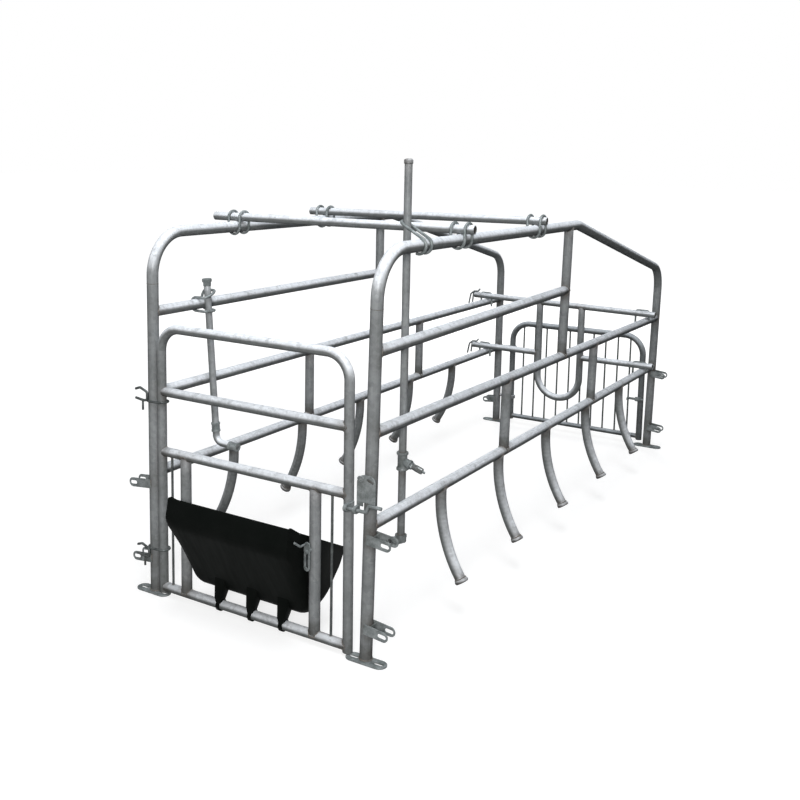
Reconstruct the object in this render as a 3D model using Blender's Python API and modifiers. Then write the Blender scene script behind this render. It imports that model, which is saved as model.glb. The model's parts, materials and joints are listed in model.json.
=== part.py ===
"""Pig stall of welded galvanised tube: two side panels, a front gate with a tipping trough,
a rear gate, a sliding U restraint, two crossbars and two drinkers.

Places are written from the point on the floor midway between the two front posts:
X across the stall, Y from the front gate to the rear, Z up. The empty stall_origin moves
everything so that the world origin lies under the middle of the whole object's box.
"""
import math

import bmesh
import bpy
from mathutils import Matrix, Vector

# Where the middle of the object's box lies, from the point between the front posts
BOX_MIDDLE_X = 0.0030
BOX_MIDDLE_Y = 1.0845

# Tube and rod diameters
POST_TUBE = 0.032
RAIL_TUBE = 0.030
GATE_TUBE = 0.026
BAR_TUBE = 0.025
WATER_PIPE = 0.020
CLAMP_ROD = 0.008
THIN_ROD = 0.007
WIRE = 0.006

# Gaps between pieces
SEAT_GAP = 0.0003
RUNNING_GAP = 0.0007

# How far welded pieces reach into each other, and how far a cutter overruns
WELD_BITE = 0.001
PLATE_BITE = 0.002
SWELL_RUN = 0.001

# Side panels
HALF_WIDTH = 0.350
RIGHT_LEAN = 0.0172
LENGTH = 2.250
TOP_FRONT_Z = 1.0158
TOP_PEAK_Z = 1.0012
REAR_CORNER_Z = 0.761
FRONT_BEND = 0.115
REAR_BEND = 0.100
LOW_RAIL_Z = 0.348
MIDDLE_RAIL_Z = {"left": (0.575, 0.5725), "right": (0.5777, 0.5564)}
HIGH_RAIL_Z = {"left": (0.8014, 0.793), "right": (0.7753, 0.790)}
LONG_STRUT_Y = {"left": 1.187, "right": 1.200}
PEAK_BEHIND_STRUT = {"left": 0.090, "right": 0.077}
SHORT_STRUT_Y = {"left": (0.745, 1.500), "right": (0.765, 1.510)}
FIRST_FINGER_Y = {"left": 0.345, "right": 0.365}
FINGER_STEP = {"left": 0.361, "right": 0.366}
FINGER_COUNT = 5
FINGER_BEND = 0.405
FINGER_STRAIGHT = 0.013
FINGER_END_Z = 0.100
FINGER_FLARE = 0.012
FINGER_FLARE_RATIO = 1.27

# Feet and side lugs
FOOT_LENGTH = 0.114
FOOT_WIDTH = 0.040
FOOT_THICKNESS = 0.005
FOOT_SLOT_LENGTH = 0.028
FOOT_SLOT_WIDTH = 0.010
FOOT_SLOT_OFFSET = 0.0355
FOOT_SHIFT_X = 0.0045
FOOT_SHIFT_Y = -0.005
LUG_PLATE = 0.003
LUG_HEIGHT = 0.026
LUG_SLOT_LENGTH = 0.024
LUG_SLOT_WIDTH = 0.010
LUG_SLOT_WALL = 0.005
LUG_WEB_HEIGHT = 0.021
LUG_WEB_DROP = 0.0015
LUG_EAR_ROOT = 0.001
LUG_DROOP = math.radians(6.0)
UPPER_LUG_Z = LOW_RAIL_Z - RAIL_TUBE / 2 - LUG_HEIGHT / 2 - 0.0015
FRONT_LUG_REACH = 0.071
REAR_LUG_REACH = 0.062
LEFT_LOWER_LUG_Z = 0.103
LUGS = {
    "lug_front_right_upper": ("right", 0.0, UPPER_LUG_Z, FRONT_LUG_REACH),
    "lug_front_right_lower": ("right", 0.0, 0.090, FRONT_LUG_REACH),
    "lug_front_left_upper": ("left", 0.0, UPPER_LUG_Z, 0.081),
    "lug_front_left_lower": ("left", 0.0, LEFT_LOWER_LUG_Z, FRONT_LUG_REACH),
    "lug_rear_right_upper": ("right", LENGTH, UPPER_LUG_Z, REAR_LUG_REACH),
    "lug_rear_right_lower": ("right", LENGTH, 0.087, REAR_LUG_REACH),
    "lug_rear_left_lower": ("left", LENGTH, LEFT_LOWER_LUG_Z, REAR_LUG_REACH),
}

# Crossbars over the top rails, each skewed a little: where it crosses the left and right rails,
# and how far its ends run past the panels
CROSSBARS = {
    "front": {"left_y": 0.370, "right_y": 0.421, "left_over": 0.085, "right_over": 0.056},
    "rear": {"left_y": 0.830, "right_y": 0.926, "left_over": 0.055, "right_over": 0.050},
}
CLAMP_HALF_WIDTH = 0.022
CLAMP_BITE = 0.001

# Front gate, hung beside the left front post
GATE_LEFT_X = -HALF_WIDTH + 0.0295
GATE_RIGHT_TOP_X = HALF_WIDTH - 0.0585
GATE_RIGHT_FOOT_X = HALF_WIDTH - 0.0535
GATE_FOOT_Z = 0.006
GATE_TOP_Z = 0.761
GATE_BEND = 0.065
GATE_UPPER_RAIL_Z = 0.583
GATE_LOWER_RAIL_Z = 0.414
GATE_BOTTOM_RAIL_Z = 0.0225
GATE_STRUT_INSET = (0.0855, 0.0965)
GATE_STRUT_X = (GATE_LEFT_X + GATE_STRUT_INSET[0], GATE_RIGHT_TOP_X - GATE_STRUT_INSET[1])
GATE_ROD_INSET = (0.0355, 0.0455)
GATE_ROD_X = (GATE_LEFT_X + GATE_ROD_INSET[0], GATE_RIGHT_TOP_X - GATE_ROD_INSET[1])
GATE_HINGE_DROP = 0.002
GATE_HINGE_Z = {
    "upper": MIDDLE_RAIL_Z["left"][0] - RAIL_TUBE / 2 - CLAMP_ROD / 2 - GATE_HINGE_DROP,
    "lower": LEFT_LOWER_LUG_Z + LUG_HEIGHT / 2 + CLAMP_ROD / 2 + 0.012,
}
GATE_FORK_LIFT = {"upper": 0.011, "lower": -0.016}
FORK_REACH = 0.047
FORK_HEIGHT = 0.034
FORK_DROP = 0.009
FORK_CREST = 0.030
FORK_CREST_RISE = 0.006
FORK_SHOULDER = 0.010
FORK_TIP_RISE = 0.003
FORK_BEND = 0.008
FORK_TAIL_LENGTH = 0.028

# Front latch
LATCH_ROD = 0.009
LATCH_PLATE_LEFT_X = HALF_WIDTH - 0.021
LATCH_PLATE_RIGHT_X = HALF_WIDTH + 0.031
LATCH_PLATE_LOW_Z = 0.409
LATCH_PLATE_HIGH_Z = 0.478
LATCH_PLATE_THICKNESS = 0.004
LATCH_PLATE_CORNERS = (0.014, 0.008)
LATCH_SLOT_LENGTH = 0.019
LATCH_SLOT_WIDTH = 0.007
LATCH_SLOT_EDGE = 0.0140
LATCH_SLOT_TILT = math.radians(-21)
LATCH_EYE_X = HALF_WIDTH - 0.0155
LATCH_EYE_THICKNESS = 0.008
LATCH_EYE_RADIUS = 0.0095
LATCH_EYE_DROP = 0.017
LATCH_STAND_OFF = 0.0122
LATCH_LUG_THICKNESS = 0.010
LATCH_LUG_REACH = 0.030
LATCH_LUG_X = LATCH_EYE_X - 0.027
LATCH_TIP_GAP = 0.0015
LATCH_STRAIGHT = 0.030
LATCH_RISE = 0.018
LATCH_HANDLE = 0.036
LATCH_HANDLE_SET = 0.002
LATCH_BEND = 0.008
LATCH_Y = -POST_TUBE / 2 - SEAT_GAP - LATCH_PLATE_THICKNESS - LATCH_STAND_OFF
LATCH_Z = LATCH_PLATE_LOW_Z - LATCH_EYE_DROP

# Trough, tipping on the gate's bottom rail between the gate's two struts
TROUGH_SIDE_GAP = 0.0015
TROUGH_LEFT_X = GATE_STRUT_X[0] + RAIL_TUBE / 2 + TROUGH_SIDE_GAP
TROUGH_RIGHT_X = GATE_STRUT_X[1] - RAIL_TUBE / 2 - TROUGH_SIDE_GAP
TROUGH_WALL = 0.005
TROUGH_CORNER = 0.050
TROUGH_CORNER_DEPTH = 0.14
TROUGH_RIM_Z = 0.281
TROUGH_RIM_SLOPE = -0.5
TROUGH_FRONT_RIM = (-0.089, 0.326)
TROUGH_BELLY = (-0.104, 0.262)
TROUGH_BOTTOM_FRONT = (0.012, 0.048)
TROUGH_BOTTOM_REAR = (0.092, 0.072)
TROUGH_LIP_Y = 0.165
TROUGH_RIM_CUT_Y = (0.060, -0.045)
TROUGH_RIM_NOTCH = (-0.078, 0.3255)
TROUGH_MIDDLE = (0.030, 0.230)
TROUGH_BENDS = (0.060, 0.045, 0.090)
TROUGH_TAB_WIDTH = 0.039
TROUGH_FIRST_TAB_X = TROUGH_LEFT_X + 0.0995
TROUGH_LAST_TAB_X = TROUGH_RIGHT_X - 0.0485 - TROUGH_TAB_WIDTH
TROUGH_MIDDLE_TAB_SHIFT = 0.003
TROUGH_MIDDLE_TAB_X = (TROUGH_FIRST_TAB_X + TROUGH_LAST_TAB_X) / 2 + TROUGH_MIDDLE_TAB_SHIFT
TROUGH_TAB_TOE_Y = -0.0155
TROUGH_TAB_TOE_RISE = 0.010
TROUGH_TAB_SOLE_Y = (-0.006, 0.004)
TROUGH_TAB_SOLE_BITE = (0.0015, 0.0012)
TROUGH_TAB_BACK = (0.008, 0.0665)
TROUGH_TAB_TOP = ((-0.012, 0.098), (-0.019, 0.108))
TROUGH_TAB_FRONT = (-0.0205, 0.050)
TROUGH_CLIP_WIDTH = 0.012
TROUGH_CLIP_WALL = 0.0035

# Trough holder: a slotted plate on a headed pin in front of the gate's right strut
HOLDER_Z = 0.268
HOLDER_SHIFT_X = -0.0045
HOLDER_X = GATE_STRUT_X[1] + HOLDER_SHIFT_X
HOLDER_STAND_OFF = 0.011
HOLDER_PLATE_LENGTH = 0.066
HOLDER_PLATE_WIDTH = 0.018
HOLDER_PLATE_THICKNESS = 0.004
HOLDER_SLOT_LENGTH = 0.038
HOLDER_SLOT_WIDTH = 0.006
HOLDER_SLOT_DROP = 0.008
HOLDER_PIN = 0.0048
HOLDER_PIN_HEAD = 0.012
HOLDER_HEAD_THICKNESS = 0.0035
HOLDER_GRIP_GAP = 0.0085
HOLDER_GRIP_REACH = 0.050
HOLDER_GRIP_RISE = 0.022
HOLDER_GRIP_LIFT = 0.004
HOLDER_Y = -RAIL_TUBE / 2 - HOLDER_STAND_OFF - HOLDER_PLATE_THICKNESS / 2
HOLDER_PLATE_Z = HOLDER_Z - HOLDER_PLATE_LENGTH / 2 + HOLDER_PLATE_WIDTH / 2
HOLDER_SLOT_TOP = HOLDER_PLATE_Z - HOLDER_SLOT_DROP + HOLDER_SLOT_LENGTH / 2
HOLDER_PIN_Z = HOLDER_SLOT_TOP - HOLDER_PIN / 2 - SEAT_GAP

# Rear gate, hung beside the left rear post
REAR_GATE_LEFT_X = -HALF_WIDTH + 0.071
REAR_GATE_RIGHT_X = HALF_WIDTH - 0.035
REAR_GATE_TOP_Z = 0.468
REAR_GATE_FOOT_Z = 0.022
REAR_GATE_RAIL_Z = 0.037
REAR_GATE_BEND = 0.080
REAR_GATE_ROD_COUNT = 10
REAR_GATE_ROD_DROP = 0.002
REAR_HINGE_Z = {"upper": 0.354, "lower": 0.124}
REAR_HINGE_HEIGHT = 0.014
REAR_HINGE_WALL = 0.0045
REAR_HINGE_ARM = 0.012
REAR_HINGE_BITE = 0.003
REAR_LATCH_STAND_OFF = 0.0225
REAR_LATCH_Y = LENGTH - REAR_LATCH_STAND_OFF
REAR_LATCH_Z = 0.202
REAR_LATCH_ROD = 0.010
REAR_LATCH_LENGTH = 0.070
REAR_LATCH_REACH = 0.018
REAR_KNOB_LENGTH = 0.026
REAR_KNOB_INSET = 0.008
REAR_BARREL_LENGTH = 0.024
REAR_BARREL_WALL = 0.004
REAR_FOOT_LEFT = 0.010
REAR_FOOT_RIGHT = 0.002
REAR_FOOT_HALF_HEIGHT = 0.007
REAR_FOOT_BITE = 0.0028
REAR_FOOT_DEPTH = 0.006

# Sliding restraint, its bars resting across the side rails
RESTRAINT_INSET = 0.150
RESTRAINT_Y = LENGTH - RESTRAINT_INSET
RESTRAINT_TRAVEL = 0.500
RESTRAINT_LEG_X = 0.0935
RESTRAINT_BOTTOM_Z = 0.190
RESTRAINT_TUBE = 0.028
RESTRAINT_LEFT_OVER = 0.065
RESTRAINT_LOW_LEFT_OVER = 0.070
RESTRAINT_RIGHT_OVER = 0.052
RESTRAINT_GUIDE_INSET = 0.028
RESTRAINT_GUIDE_LENGTH = 0.045

# Drinkers
RIGHT_DRINKER_INSET = 0.025
RIGHT_DRINKER = (HALF_WIDTH - RIGHT_DRINKER_INSET, 0.205)
RIGHT_DRINKER_LOW_Z = 0.240
RIGHT_DRINKER_HIGH_Z = 1.227
PIPE_FITTING = 0.028
TEE_HEIGHT = 0.048
TEE_BEAD = 0.007
TEE_BEAD_RATIO = 1.1
TEE_WAIST_RATIO = 0.9
BRANCH_TUBE = 0.024
BRANCH_LENGTH = 0.026
NIPPLE_Z = 0.452
NIPPLE_LENGTH = 0.062
NIPPLE_TUBE = 0.014
NIPPLE_ROOT = 0.006
NIPPLE_BORE_DEPTH = 0.014
NIPPLE_DROOP = math.radians(10.0)
VALVE_PIN = 0.006
VALVE_PIN_OUT = 0.008
VALVE_TRAVEL = 0.004
VALVE_END_GAP = 0.001
ELBOW_RISE = 0.014
ELBOW_DROP = 0.006
OUTLET_WAY = (-0.5, -0.87, -0.05)
OUTLET_LENGTH = 0.032
DRINKER_LOOP_RISE = 0.046
DRINKER_LOOP_WRAP = (-110, 62)
LEFT_DRINKER_Y = 0.200
LEFT_DRINKER_TOP_Z = 0.872
LEFT_DRINKER_KNEE_Z = 0.397
LEFT_DRINKER_KNEE_INSET = 0.0545
LEFT_DRINKER_OUTLET_INSET = 0.132
LEFT_DRINKER_OUTLET_DROP = 0.004
LEFT_DRINKER_BEND = 0.024
LEFT_CAP_TUBE = 0.026
LEFT_CAP_LENGTH = 0.020
LEFT_SLEEVE = (0.058, 0.030)
LEFT_VALVE_LENGTH = 0.030


# Scene, materials and joint places

def clear_scene():
    for old in list(bpy.data.objects):
        bpy.data.objects.remove(old, do_unlink=True)


def make_collection(name):
    collection = bpy.data.collections.new(name)
    bpy.context.scene.collection.children.link(collection)
    return collection


def make_material(name, colour, roughness, metallic):
    material = bpy.data.materials.new(name)
    material.use_nodes = True
    shader = material.node_tree.nodes["Principled BSDF"]
    shader.inputs["Base Color"].default_value = (*colour, 1.0)
    shader.inputs["Roughness"].default_value = roughness
    shader.inputs["Metallic"].default_value = metallic
    material.diffuse_color = (*colour, 1.0)
    return material


def galvanised(name):
    return make_material(name, (0.58, 0.61, 0.64), 0.42, 0.9)


def zinc_plated(name):
    return make_material(name, (0.66, 0.69, 0.68), 0.30, 0.95)


def black_plastic(name):
    return make_material(name, (0.015, 0.016, 0.018), 0.45, 0.0)


PIVOT_PLACES = {}


def add_pivot(name, place, parent=None):
    """An empty on a joint's axis; parts are parented to it and written from the stall's front."""
    empty = bpy.data.objects.new(name, None)
    PARTS.objects.link(empty)
    if parent is None:
        empty.location = (-BOX_MIDDLE_X, -BOX_MIDDLE_Y, 0.0)
    else:
        empty.parent = parent
        empty.location = Vector(place) - PIVOT_PLACES[parent.name]
    PIVOT_PLACES[empty.name] = Vector(place)
    return empty


def attach(part, place, pivot):
    PARTS.objects.link(part)
    part.parent = pivot
    part.location = Vector(place) - PIVOT_PLACES[pivot.name]
    return part


# Paths

def arc_points(centre, along, up, start, end, steps):
    """Points on an arc about centre, in the plane of the two vectors, angles in degrees."""
    points = []
    for step in range(steps + 1):
        angle = math.radians(start + (end - start) * step / steps)
        points.append(Vector(centre) + Vector(along) * math.cos(angle) + Vector(up) * math.sin(angle))
    return points


def bent_path(corners, radii, steps=6):
    """A path through the corners, each inner corner rounded to its own bend radius."""
    corners = [Vector(corner) for corner in corners]
    path = [corners[0]]
    for index, radius in enumerate(radii, start=1):
        corner = corners[index]
        back = (corners[index - 1] - corner).normalized()
        ahead = (corners[index + 1] - corner).normalized()
        half_angle = back.angle(ahead) / 2
        middle = (back + ahead).normalized()
        centre = corner + middle * (radius / math.sin(half_angle))
        first = corner + back * (radius / math.tan(half_angle))
        last = corner + ahead * (radius / math.tan(half_angle))
        turn = (first - centre).angle(last - centre)
        axis = (first - centre).cross(last - centre).normalized()
        for step in range(steps + 1):
            path.append(centre + Matrix.Rotation(turn * step / steps, 3, axis) @ (first - centre))
    path.append(corners[-1])
    return path


# Pieces

def tube(name, path, diameter, material, pivot, sides=12, closed=False, swell=None):
    """A round tube or rod along a path, with its origin at the path's first point."""
    curve = bpy.data.curves.new(name, "CURVE")
    curve.dimensions = "3D"
    curve.bevel_depth = diameter / 2
    curve.bevel_resolution = (sides - 4) // 2
    curve.use_fill_caps = not closed
    spline = curve.splines.new("POLY")
    spline.points.add(len(path) - 1)
    start = Vector(path[0])
    for index, point in enumerate(path):
        spline.points[index].co = (*(Vector(point) - start), 1.0)
        if swell:
            spline.points[index].radius = swell[index]
    spline.use_cyclic_u = closed
    spline.use_smooth = True
    curve.materials.append(material)
    return attach(bpy.data.objects.new(name, curve), start, pivot)


def flat_plate(name, outlines, thickness, place, rotation, material, pivot):
    """A plate from closed outlines in its own XY plane: the first is its edge, the rest its holes."""
    curve = bpy.data.curves.new(name, "CURVE")
    curve.dimensions = "2D"
    curve.fill_mode = "BOTH"
    curve.extrude = thickness / 2
    for outline in outlines:
        spline = curve.splines.new("POLY")
        spline.points.add(len(outline) - 1)
        for index, point in enumerate(outline):
            spline.points[index].co = (point[0], point[1], 0.0, 1.0)
        spline.use_cyclic_u = True
    curve.materials.append(material)
    plate = attach(bpy.data.objects.new(name, curve), place, pivot)
    plate.rotation_euler = rotation
    return plate


def slot_outline(length, width, centre=(0.0, 0.0), steps=5):
    """An oblong with half-round ends, lying along X."""
    reach = (length - width) / 2
    along = (width / 2, 0, 0)
    up = (0, width / 2, 0)
    right = arc_points((centre[0] + reach, centre[1], 0), along, up, -90, 90, steps)
    left = arc_points((centre[0] - reach, centre[1], 0), along, up, 90, 270, steps)
    return right + left


def block(name, low, high, material, pivot):
    """A square-edged block between two opposite corners."""
    low = Vector(low)
    high = Vector(high)
    shape = bmesh.new()
    bmesh.ops.create_cube(shape, size=1.0)
    bmesh.ops.scale(shape, vec=high - low, verts=shape.verts)
    mesh = bpy.data.meshes.new(name)
    shape.to_mesh(mesh)
    shape.free()
    mesh.materials.append(material)
    return attach(bpy.data.objects.new(name, mesh), (low + high) / 2, pivot)


def as_mesh(part):
    """The same piece as a welded mesh with its faces pointing out."""
    bpy.context.view_layer.update()
    evaluated = part.evaluated_get(bpy.context.evaluated_depsgraph_get())
    mesh = bpy.data.meshes.new_from_object(evaluated)
    shape = bmesh.new()
    shape.from_mesh(mesh)
    bmesh.ops.remove_doubles(shape, verts=shape.verts, dist=0.00001)
    bmesh.ops.recalc_face_normals(shape, faces=shape.faces)
    shape.to_mesh(mesh)
    shape.free()
    name = part.name
    solid = bpy.data.objects.new(name, mesh)
    PARTS.objects.link(solid)
    solid.parent = part.parent
    solid.location = part.location
    solid.rotation_euler = part.rotation_euler
    bpy.data.objects.remove(part, do_unlink=True)
    solid.name = name
    return solid


def combine(name, pieces, operation="UNION"):
    """The first piece with the others welded on or cut out, as one solid."""
    solids = [as_mesh(piece) for piece in pieces]
    main = solids[0]
    for other in solids[1:]:
        change = main.modifiers.new("change", "BOOLEAN")
        change.operation = operation
        change.solver = "EXACT"
        change.object = other
        main = as_mesh(main)
        bpy.data.objects.remove(other, do_unlink=True)
    main.name = name
    main.data.name = name
    main.data.shade_smooth()
    main.data.set_sharp_from_angle(angle=math.radians(40))
    return main


# Side panels

def outward(side):
    return 1.0 if side == "right" else -1.0


def panel_x(side, z):
    """The panel's middle plane: the left one is upright, the right one leans out."""
    if side == "right":
        return HALF_WIDTH + RIGHT_LEAN * z
    return -HALF_WIDTH


def on_panel(side, y, z):
    return Vector((panel_x(side, z), y, z))


def peak_y(side):
    """Where a panel's top rail starts to fall: a little behind its long strut."""
    return LONG_STRUT_Y[side] + PEAK_BEHIND_STRUT[side]


def top_rail_z(side, y):
    return TOP_FRONT_Z + (TOP_PEAK_Z - TOP_FRONT_Z) * y / peak_y(side)


def rail_z(ends, y):
    return ends[0] + (ends[1] - ends[0]) * y / LENGTH


def high_rail_z(side, y):
    ends = HIGH_RAIL_Z[side]
    return ends[0] + (ends[1] - ends[0]) * y / LONG_STRUT_Y[side]


def build_hoop(side):
    foot_z = FOOT_THICKNESS + SEAT_GAP
    corners = [
        on_panel(side, 0.0, foot_z),
        on_panel(side, 0.0, TOP_FRONT_Z),
        on_panel(side, peak_y(side), TOP_PEAK_Z),
        on_panel(side, LENGTH, REAR_CORNER_Z),
        on_panel(side, LENGTH, foot_z),
    ]
    path = bent_path(corners, [FRONT_BEND, REAR_BEND, REAR_BEND])
    return tube(side + "_hoop", path, POST_TUBE, galvanised(side + "_hoop"), STALL)


def build_rail(name, side, start_y, end_y, start_z, end_z):
    path = [on_panel(side, start_y, start_z), on_panel(side, end_y, end_z)]
    return tube(name, path, RAIL_TUBE, galvanised(name), STALL)


def build_rails(side):
    post_reach = POST_TUBE / 2 + SEAT_GAP
    strut_reach = RAIL_TUBE / 2 + SEAT_GAP
    first_y = post_reach
    last_y = LENGTH - post_reach
    strut_y = LONG_STRUT_Y[side] - strut_reach
    middle = MIDDLE_RAIL_Z[side]
    high = (high_rail_z(side, first_y), high_rail_z(side, strut_y))
    build_rail(side + "_low_rail", side, first_y, last_y, LOW_RAIL_Z, LOW_RAIL_Z)
    build_rail(side + "_middle_rail", side, first_y, last_y, rail_z(middle, first_y), rail_z(middle, last_y))
    build_rail(side + "_high_rail", side, first_y, strut_y, high[0], high[1])


def build_strut(name, side, y, low_z, high_z):
    path = [on_panel(side, y, low_z), on_panel(side, y, high_z)]
    return tube(name, path, RAIL_TUBE, galvanised(name), STALL)


def build_struts(side):
    rail_reach = RAIL_TUBE / 2 + SEAT_GAP
    middle = MIDDLE_RAIL_Z[side]
    y = LONG_STRUT_Y[side]
    top = top_rail_z(side, y) - POST_TUBE / 2 - SEAT_GAP * 2
    build_strut(side + "_long_strut", side, y, rail_z(middle, y) + rail_reach, top)
    for index, y in enumerate(SHORT_STRUT_Y[side], start=1):
        top = rail_z(middle, y) - rail_reach - SEAT_GAP
        build_strut(side + "_short_strut_" + str(index), side, y, LOW_RAIL_Z + rail_reach, top)


def build_finger(side, number):
    """A piglet guard: straight down from the low rail, then swept outwards, with a flared end."""
    y = FIRST_FINGER_Y[side] + FINGER_STEP[side] * (number - 1)
    x = panel_x(side, LOW_RAIL_Z)
    way = outward(side)
    top = Vector((x, y, LOW_RAIL_Z - RAIL_TUBE / 2 - SEAT_GAP))
    straight_z = top.z - FINGER_STRAIGHT
    centre = Vector((x + way * FINGER_BEND, y, straight_z))
    turn = math.degrees(math.asin((straight_z - FINGER_END_Z) / FINGER_BEND))
    sweep = arc_points(centre, (-way * FINGER_BEND, 0, 0), (0, 0, -FINGER_BEND), 0, turn, 7)
    direction = (sweep[-1] - sweep[-2]).normalized()
    flare_start = sweep[-1] + direction * SWELL_RUN
    flare_end = flare_start + direction * FINGER_FLARE
    path = [top] + sweep + [flare_start, flare_end]
    swell = [1.0] * (len(sweep) + 1) + [FINGER_FLARE_RATIO] * 2
    name = side + "_finger_" + str(number)
    return tube(name, path, RAIL_TUBE, galvanised(name), STALL, sides=10, swell=swell)


def build_foot(side, end, y):
    outline = slot_outline(FOOT_LENGTH, FOOT_WIDTH)
    slots = []
    for way in (-1, 1):
        slots.append(slot_outline(FOOT_SLOT_LENGTH, FOOT_SLOT_WIDTH, (way * FOOT_SLOT_OFFSET, 0)))
    name = "foot_" + end + "_" + side
    shift = FOOT_SHIFT_X if side == "right" else -FOOT_SHIFT_X
    place = (panel_x(side, 0.0) + shift, y + FOOT_SHIFT_Y, FOOT_THICKNESS / 2)
    return flat_plate(name, [outline] + slots, FOOT_THICKNESS, place, (0, 0, 0), galvanised(name), STALL)


def build_lug(name, side, y, z, reach):
    """Two slotted ears either side of a post, joined by a web on the post's outer side."""
    way = outward(side)
    droop = LUG_DROOP * way
    ear_y = POST_TUBE / 2 + SEAT_GAP + LUG_PLATE / 2
    post = on_panel(side, y, z)
    radius = LUG_HEIGHT / 2
    round_end = arc_points((reach - radius, 0, 0), (radius, 0, 0), (0, radius, 0), -90, 90, 6)
    slot_centre = reach - LUG_SLOT_LENGTH / 2 - LUG_SLOT_WALL
    outline = [Vector((LUG_EAR_ROOT, radius, 0)), Vector((LUG_EAR_ROOT, -radius, 0))] + round_end
    slot = slot_outline(LUG_SLOT_LENGTH, LUG_SLOT_WIDTH, (slot_centre, 0))
    if way < 0:
        outline = [Vector((-point.x, point.y, 0)) for point in outline]
        slot = [Vector((-point.x, point.y, 0)) for point in slot]
    material = zinc_plated(name)
    pieces = []
    for face in (-1, 1):
        place = post + Vector((0, face * ear_y, 0))
        rotation = (math.pi / 2, droop, 0)
        ear = flat_plate(name + "_ear", [outline, slot], LUG_PLATE, place, rotation, material, STALL)
        pieces.append(ear)
    web_start = POST_TUBE / 2 + SEAT_GAP * 3
    web_size = Vector((LUG_PLATE, 2 * ear_y, LUG_WEB_HEIGHT))
    middle = post + Vector((way * (web_start + LUG_PLATE / 2), 0, -LUG_WEB_DROP))
    pieces.append(block(name + "_web", middle - web_size / 2, middle + web_size / 2, material, STALL))
    return combine(name, pieces)


# Crossbars

def crossbar_points(bar):
    """Where the bar's middle line passes over the left and the right top rail."""
    lift = POST_TUBE / 2 + BAR_TUBE / 2 + SEAT_GAP
    left_y = bar["left_y"]
    right_y = bar["right_y"]
    left = Vector((-HALF_WIDTH, left_y, top_rail_z("left", left_y) + lift))
    right = Vector((panel_x("right", TOP_FRONT_Z), right_y, top_rail_z("right", right_y) + lift))
    return left, right


def build_crossbar(end, bar):
    left, right = crossbar_points(bar)
    direction = (right - left) / (right.x - left.x)
    left_end = -HALF_WIDTH - bar["left_over"]
    right_end = HALF_WIDTH + bar["right_over"]
    path = [left + direction * (left_end - left.x), left + direction * (right_end - left.x)]
    name = "crossbar_" + end
    return tube(name, path, BAR_TUBE, galvanised(name), STALL)


def clamp_path(crossing, rail_tube, bar_tube, rail_way, bar_way, outward_way, bar_gap=RUNNING_GAP):
    """One rod woven twice behind the rail and twice over the bar that crosses it, closed on itself."""
    rail = crossing - outward_way * (rail_tube / 2 + bar_tube / 2 + SEAT_GAP)
    across = rail_tube / 2 + CLAMP_ROD / 2 + RUNNING_GAP
    over = bar_tube / 2 + CLAMP_ROD / 2 + bar_gap
    half = rail_way * CLAMP_HALF_WIDTH
    steps = 8
    path = []
    for way in (-1, 1):
        path += arc_points(rail + half * way, bar_way * way * across, -outward_way * across, 180, 0, steps)
        path += arc_points(crossing + bar_way * way * across, -half * way, outward_way * over, 180, 0, steps)
    return path


def build_cross_clamp(name, crossing):
    ways = (Vector((0, 1, 0)), Vector((1, 0, 0)), Vector((0, 0, 1)))
    path = clamp_path(crossing, POST_TUBE, BAR_TUBE, *ways)
    return tube(name, path, CLAMP_ROD, zinc_plated(name), STALL, sides=6, closed=True)


def build_crossbars():
    for end, bar in CROSSBARS.items():
        build_crossbar(end, bar)
        left, right = crossbar_points(bar)
        build_cross_clamp("cross_clamp_" + end + "_left", left)
        build_cross_clamp("cross_clamp_" + end + "_right", right)


# Front gate

def gate_right_x(z):
    return GATE_RIGHT_FOOT_X + (GATE_RIGHT_TOP_X - GATE_RIGHT_FOOT_X) * z / GATE_TOP_Z


def build_gate_hoop():
    corners = [
        (GATE_LEFT_X, 0, GATE_FOOT_Z),
        (GATE_LEFT_X, 0, GATE_TOP_Z),
        (GATE_RIGHT_TOP_X, 0, GATE_TOP_Z),
        (gate_right_x(GATE_FOOT_Z), 0, GATE_FOOT_Z),
    ]
    name = "front_gate_hoop"
    material = galvanised(name)
    hoop = tube(name, bent_path(corners, [GATE_BEND, GATE_BEND]), GATE_TUBE, material, GATE)
    lug = latch_eye(name + "_lug", LATCH_LUG_X, LATCH_LUG_THICKNESS, LATCH_LUG_REACH, material, GATE)
    return combine(name, [hoop, lug])


def disc_outline(radius, points):
    """A round outline of so many points."""
    return arc_points((0, 0, 0), (radius, 0, 0), (0, radius, 0), 0, 360 - 360 / points, points - 1)


def latch_eye(name, x, thickness, reach, material, pivot):
    """A plate standing across the latch bolt, with a hole for it and a tail towards the gate's plane."""
    hole_radius = LATCH_ROD / 2 + RUNNING_GAP
    round_front = arc_points((0, 0, 0), (LATCH_EYE_RADIUS, 0, 0), (0, LATCH_EYE_RADIUS, 0), 90, 270, 6)
    outline = round_front + [Vector((reach, -LATCH_EYE_RADIUS, 0)), Vector((reach, LATCH_EYE_RADIUS, 0))]
    hole = disc_outline(hole_radius, 10)
    place = (x, LATCH_Y, LATCH_Z)
    rotation = (math.pi / 2, 0, math.pi / 2)
    return flat_plate(name, [outline, hole], thickness, place, rotation, material, pivot)


def build_gate_rail(name, z):
    reach = GATE_TUBE / 2 + SEAT_GAP
    path = [(GATE_LEFT_X + reach, 0, z), (gate_right_x(z) - reach - SEAT_GAP, 0, z)]
    return tube(name, path, GATE_TUBE, galvanised(name), GATE)


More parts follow.
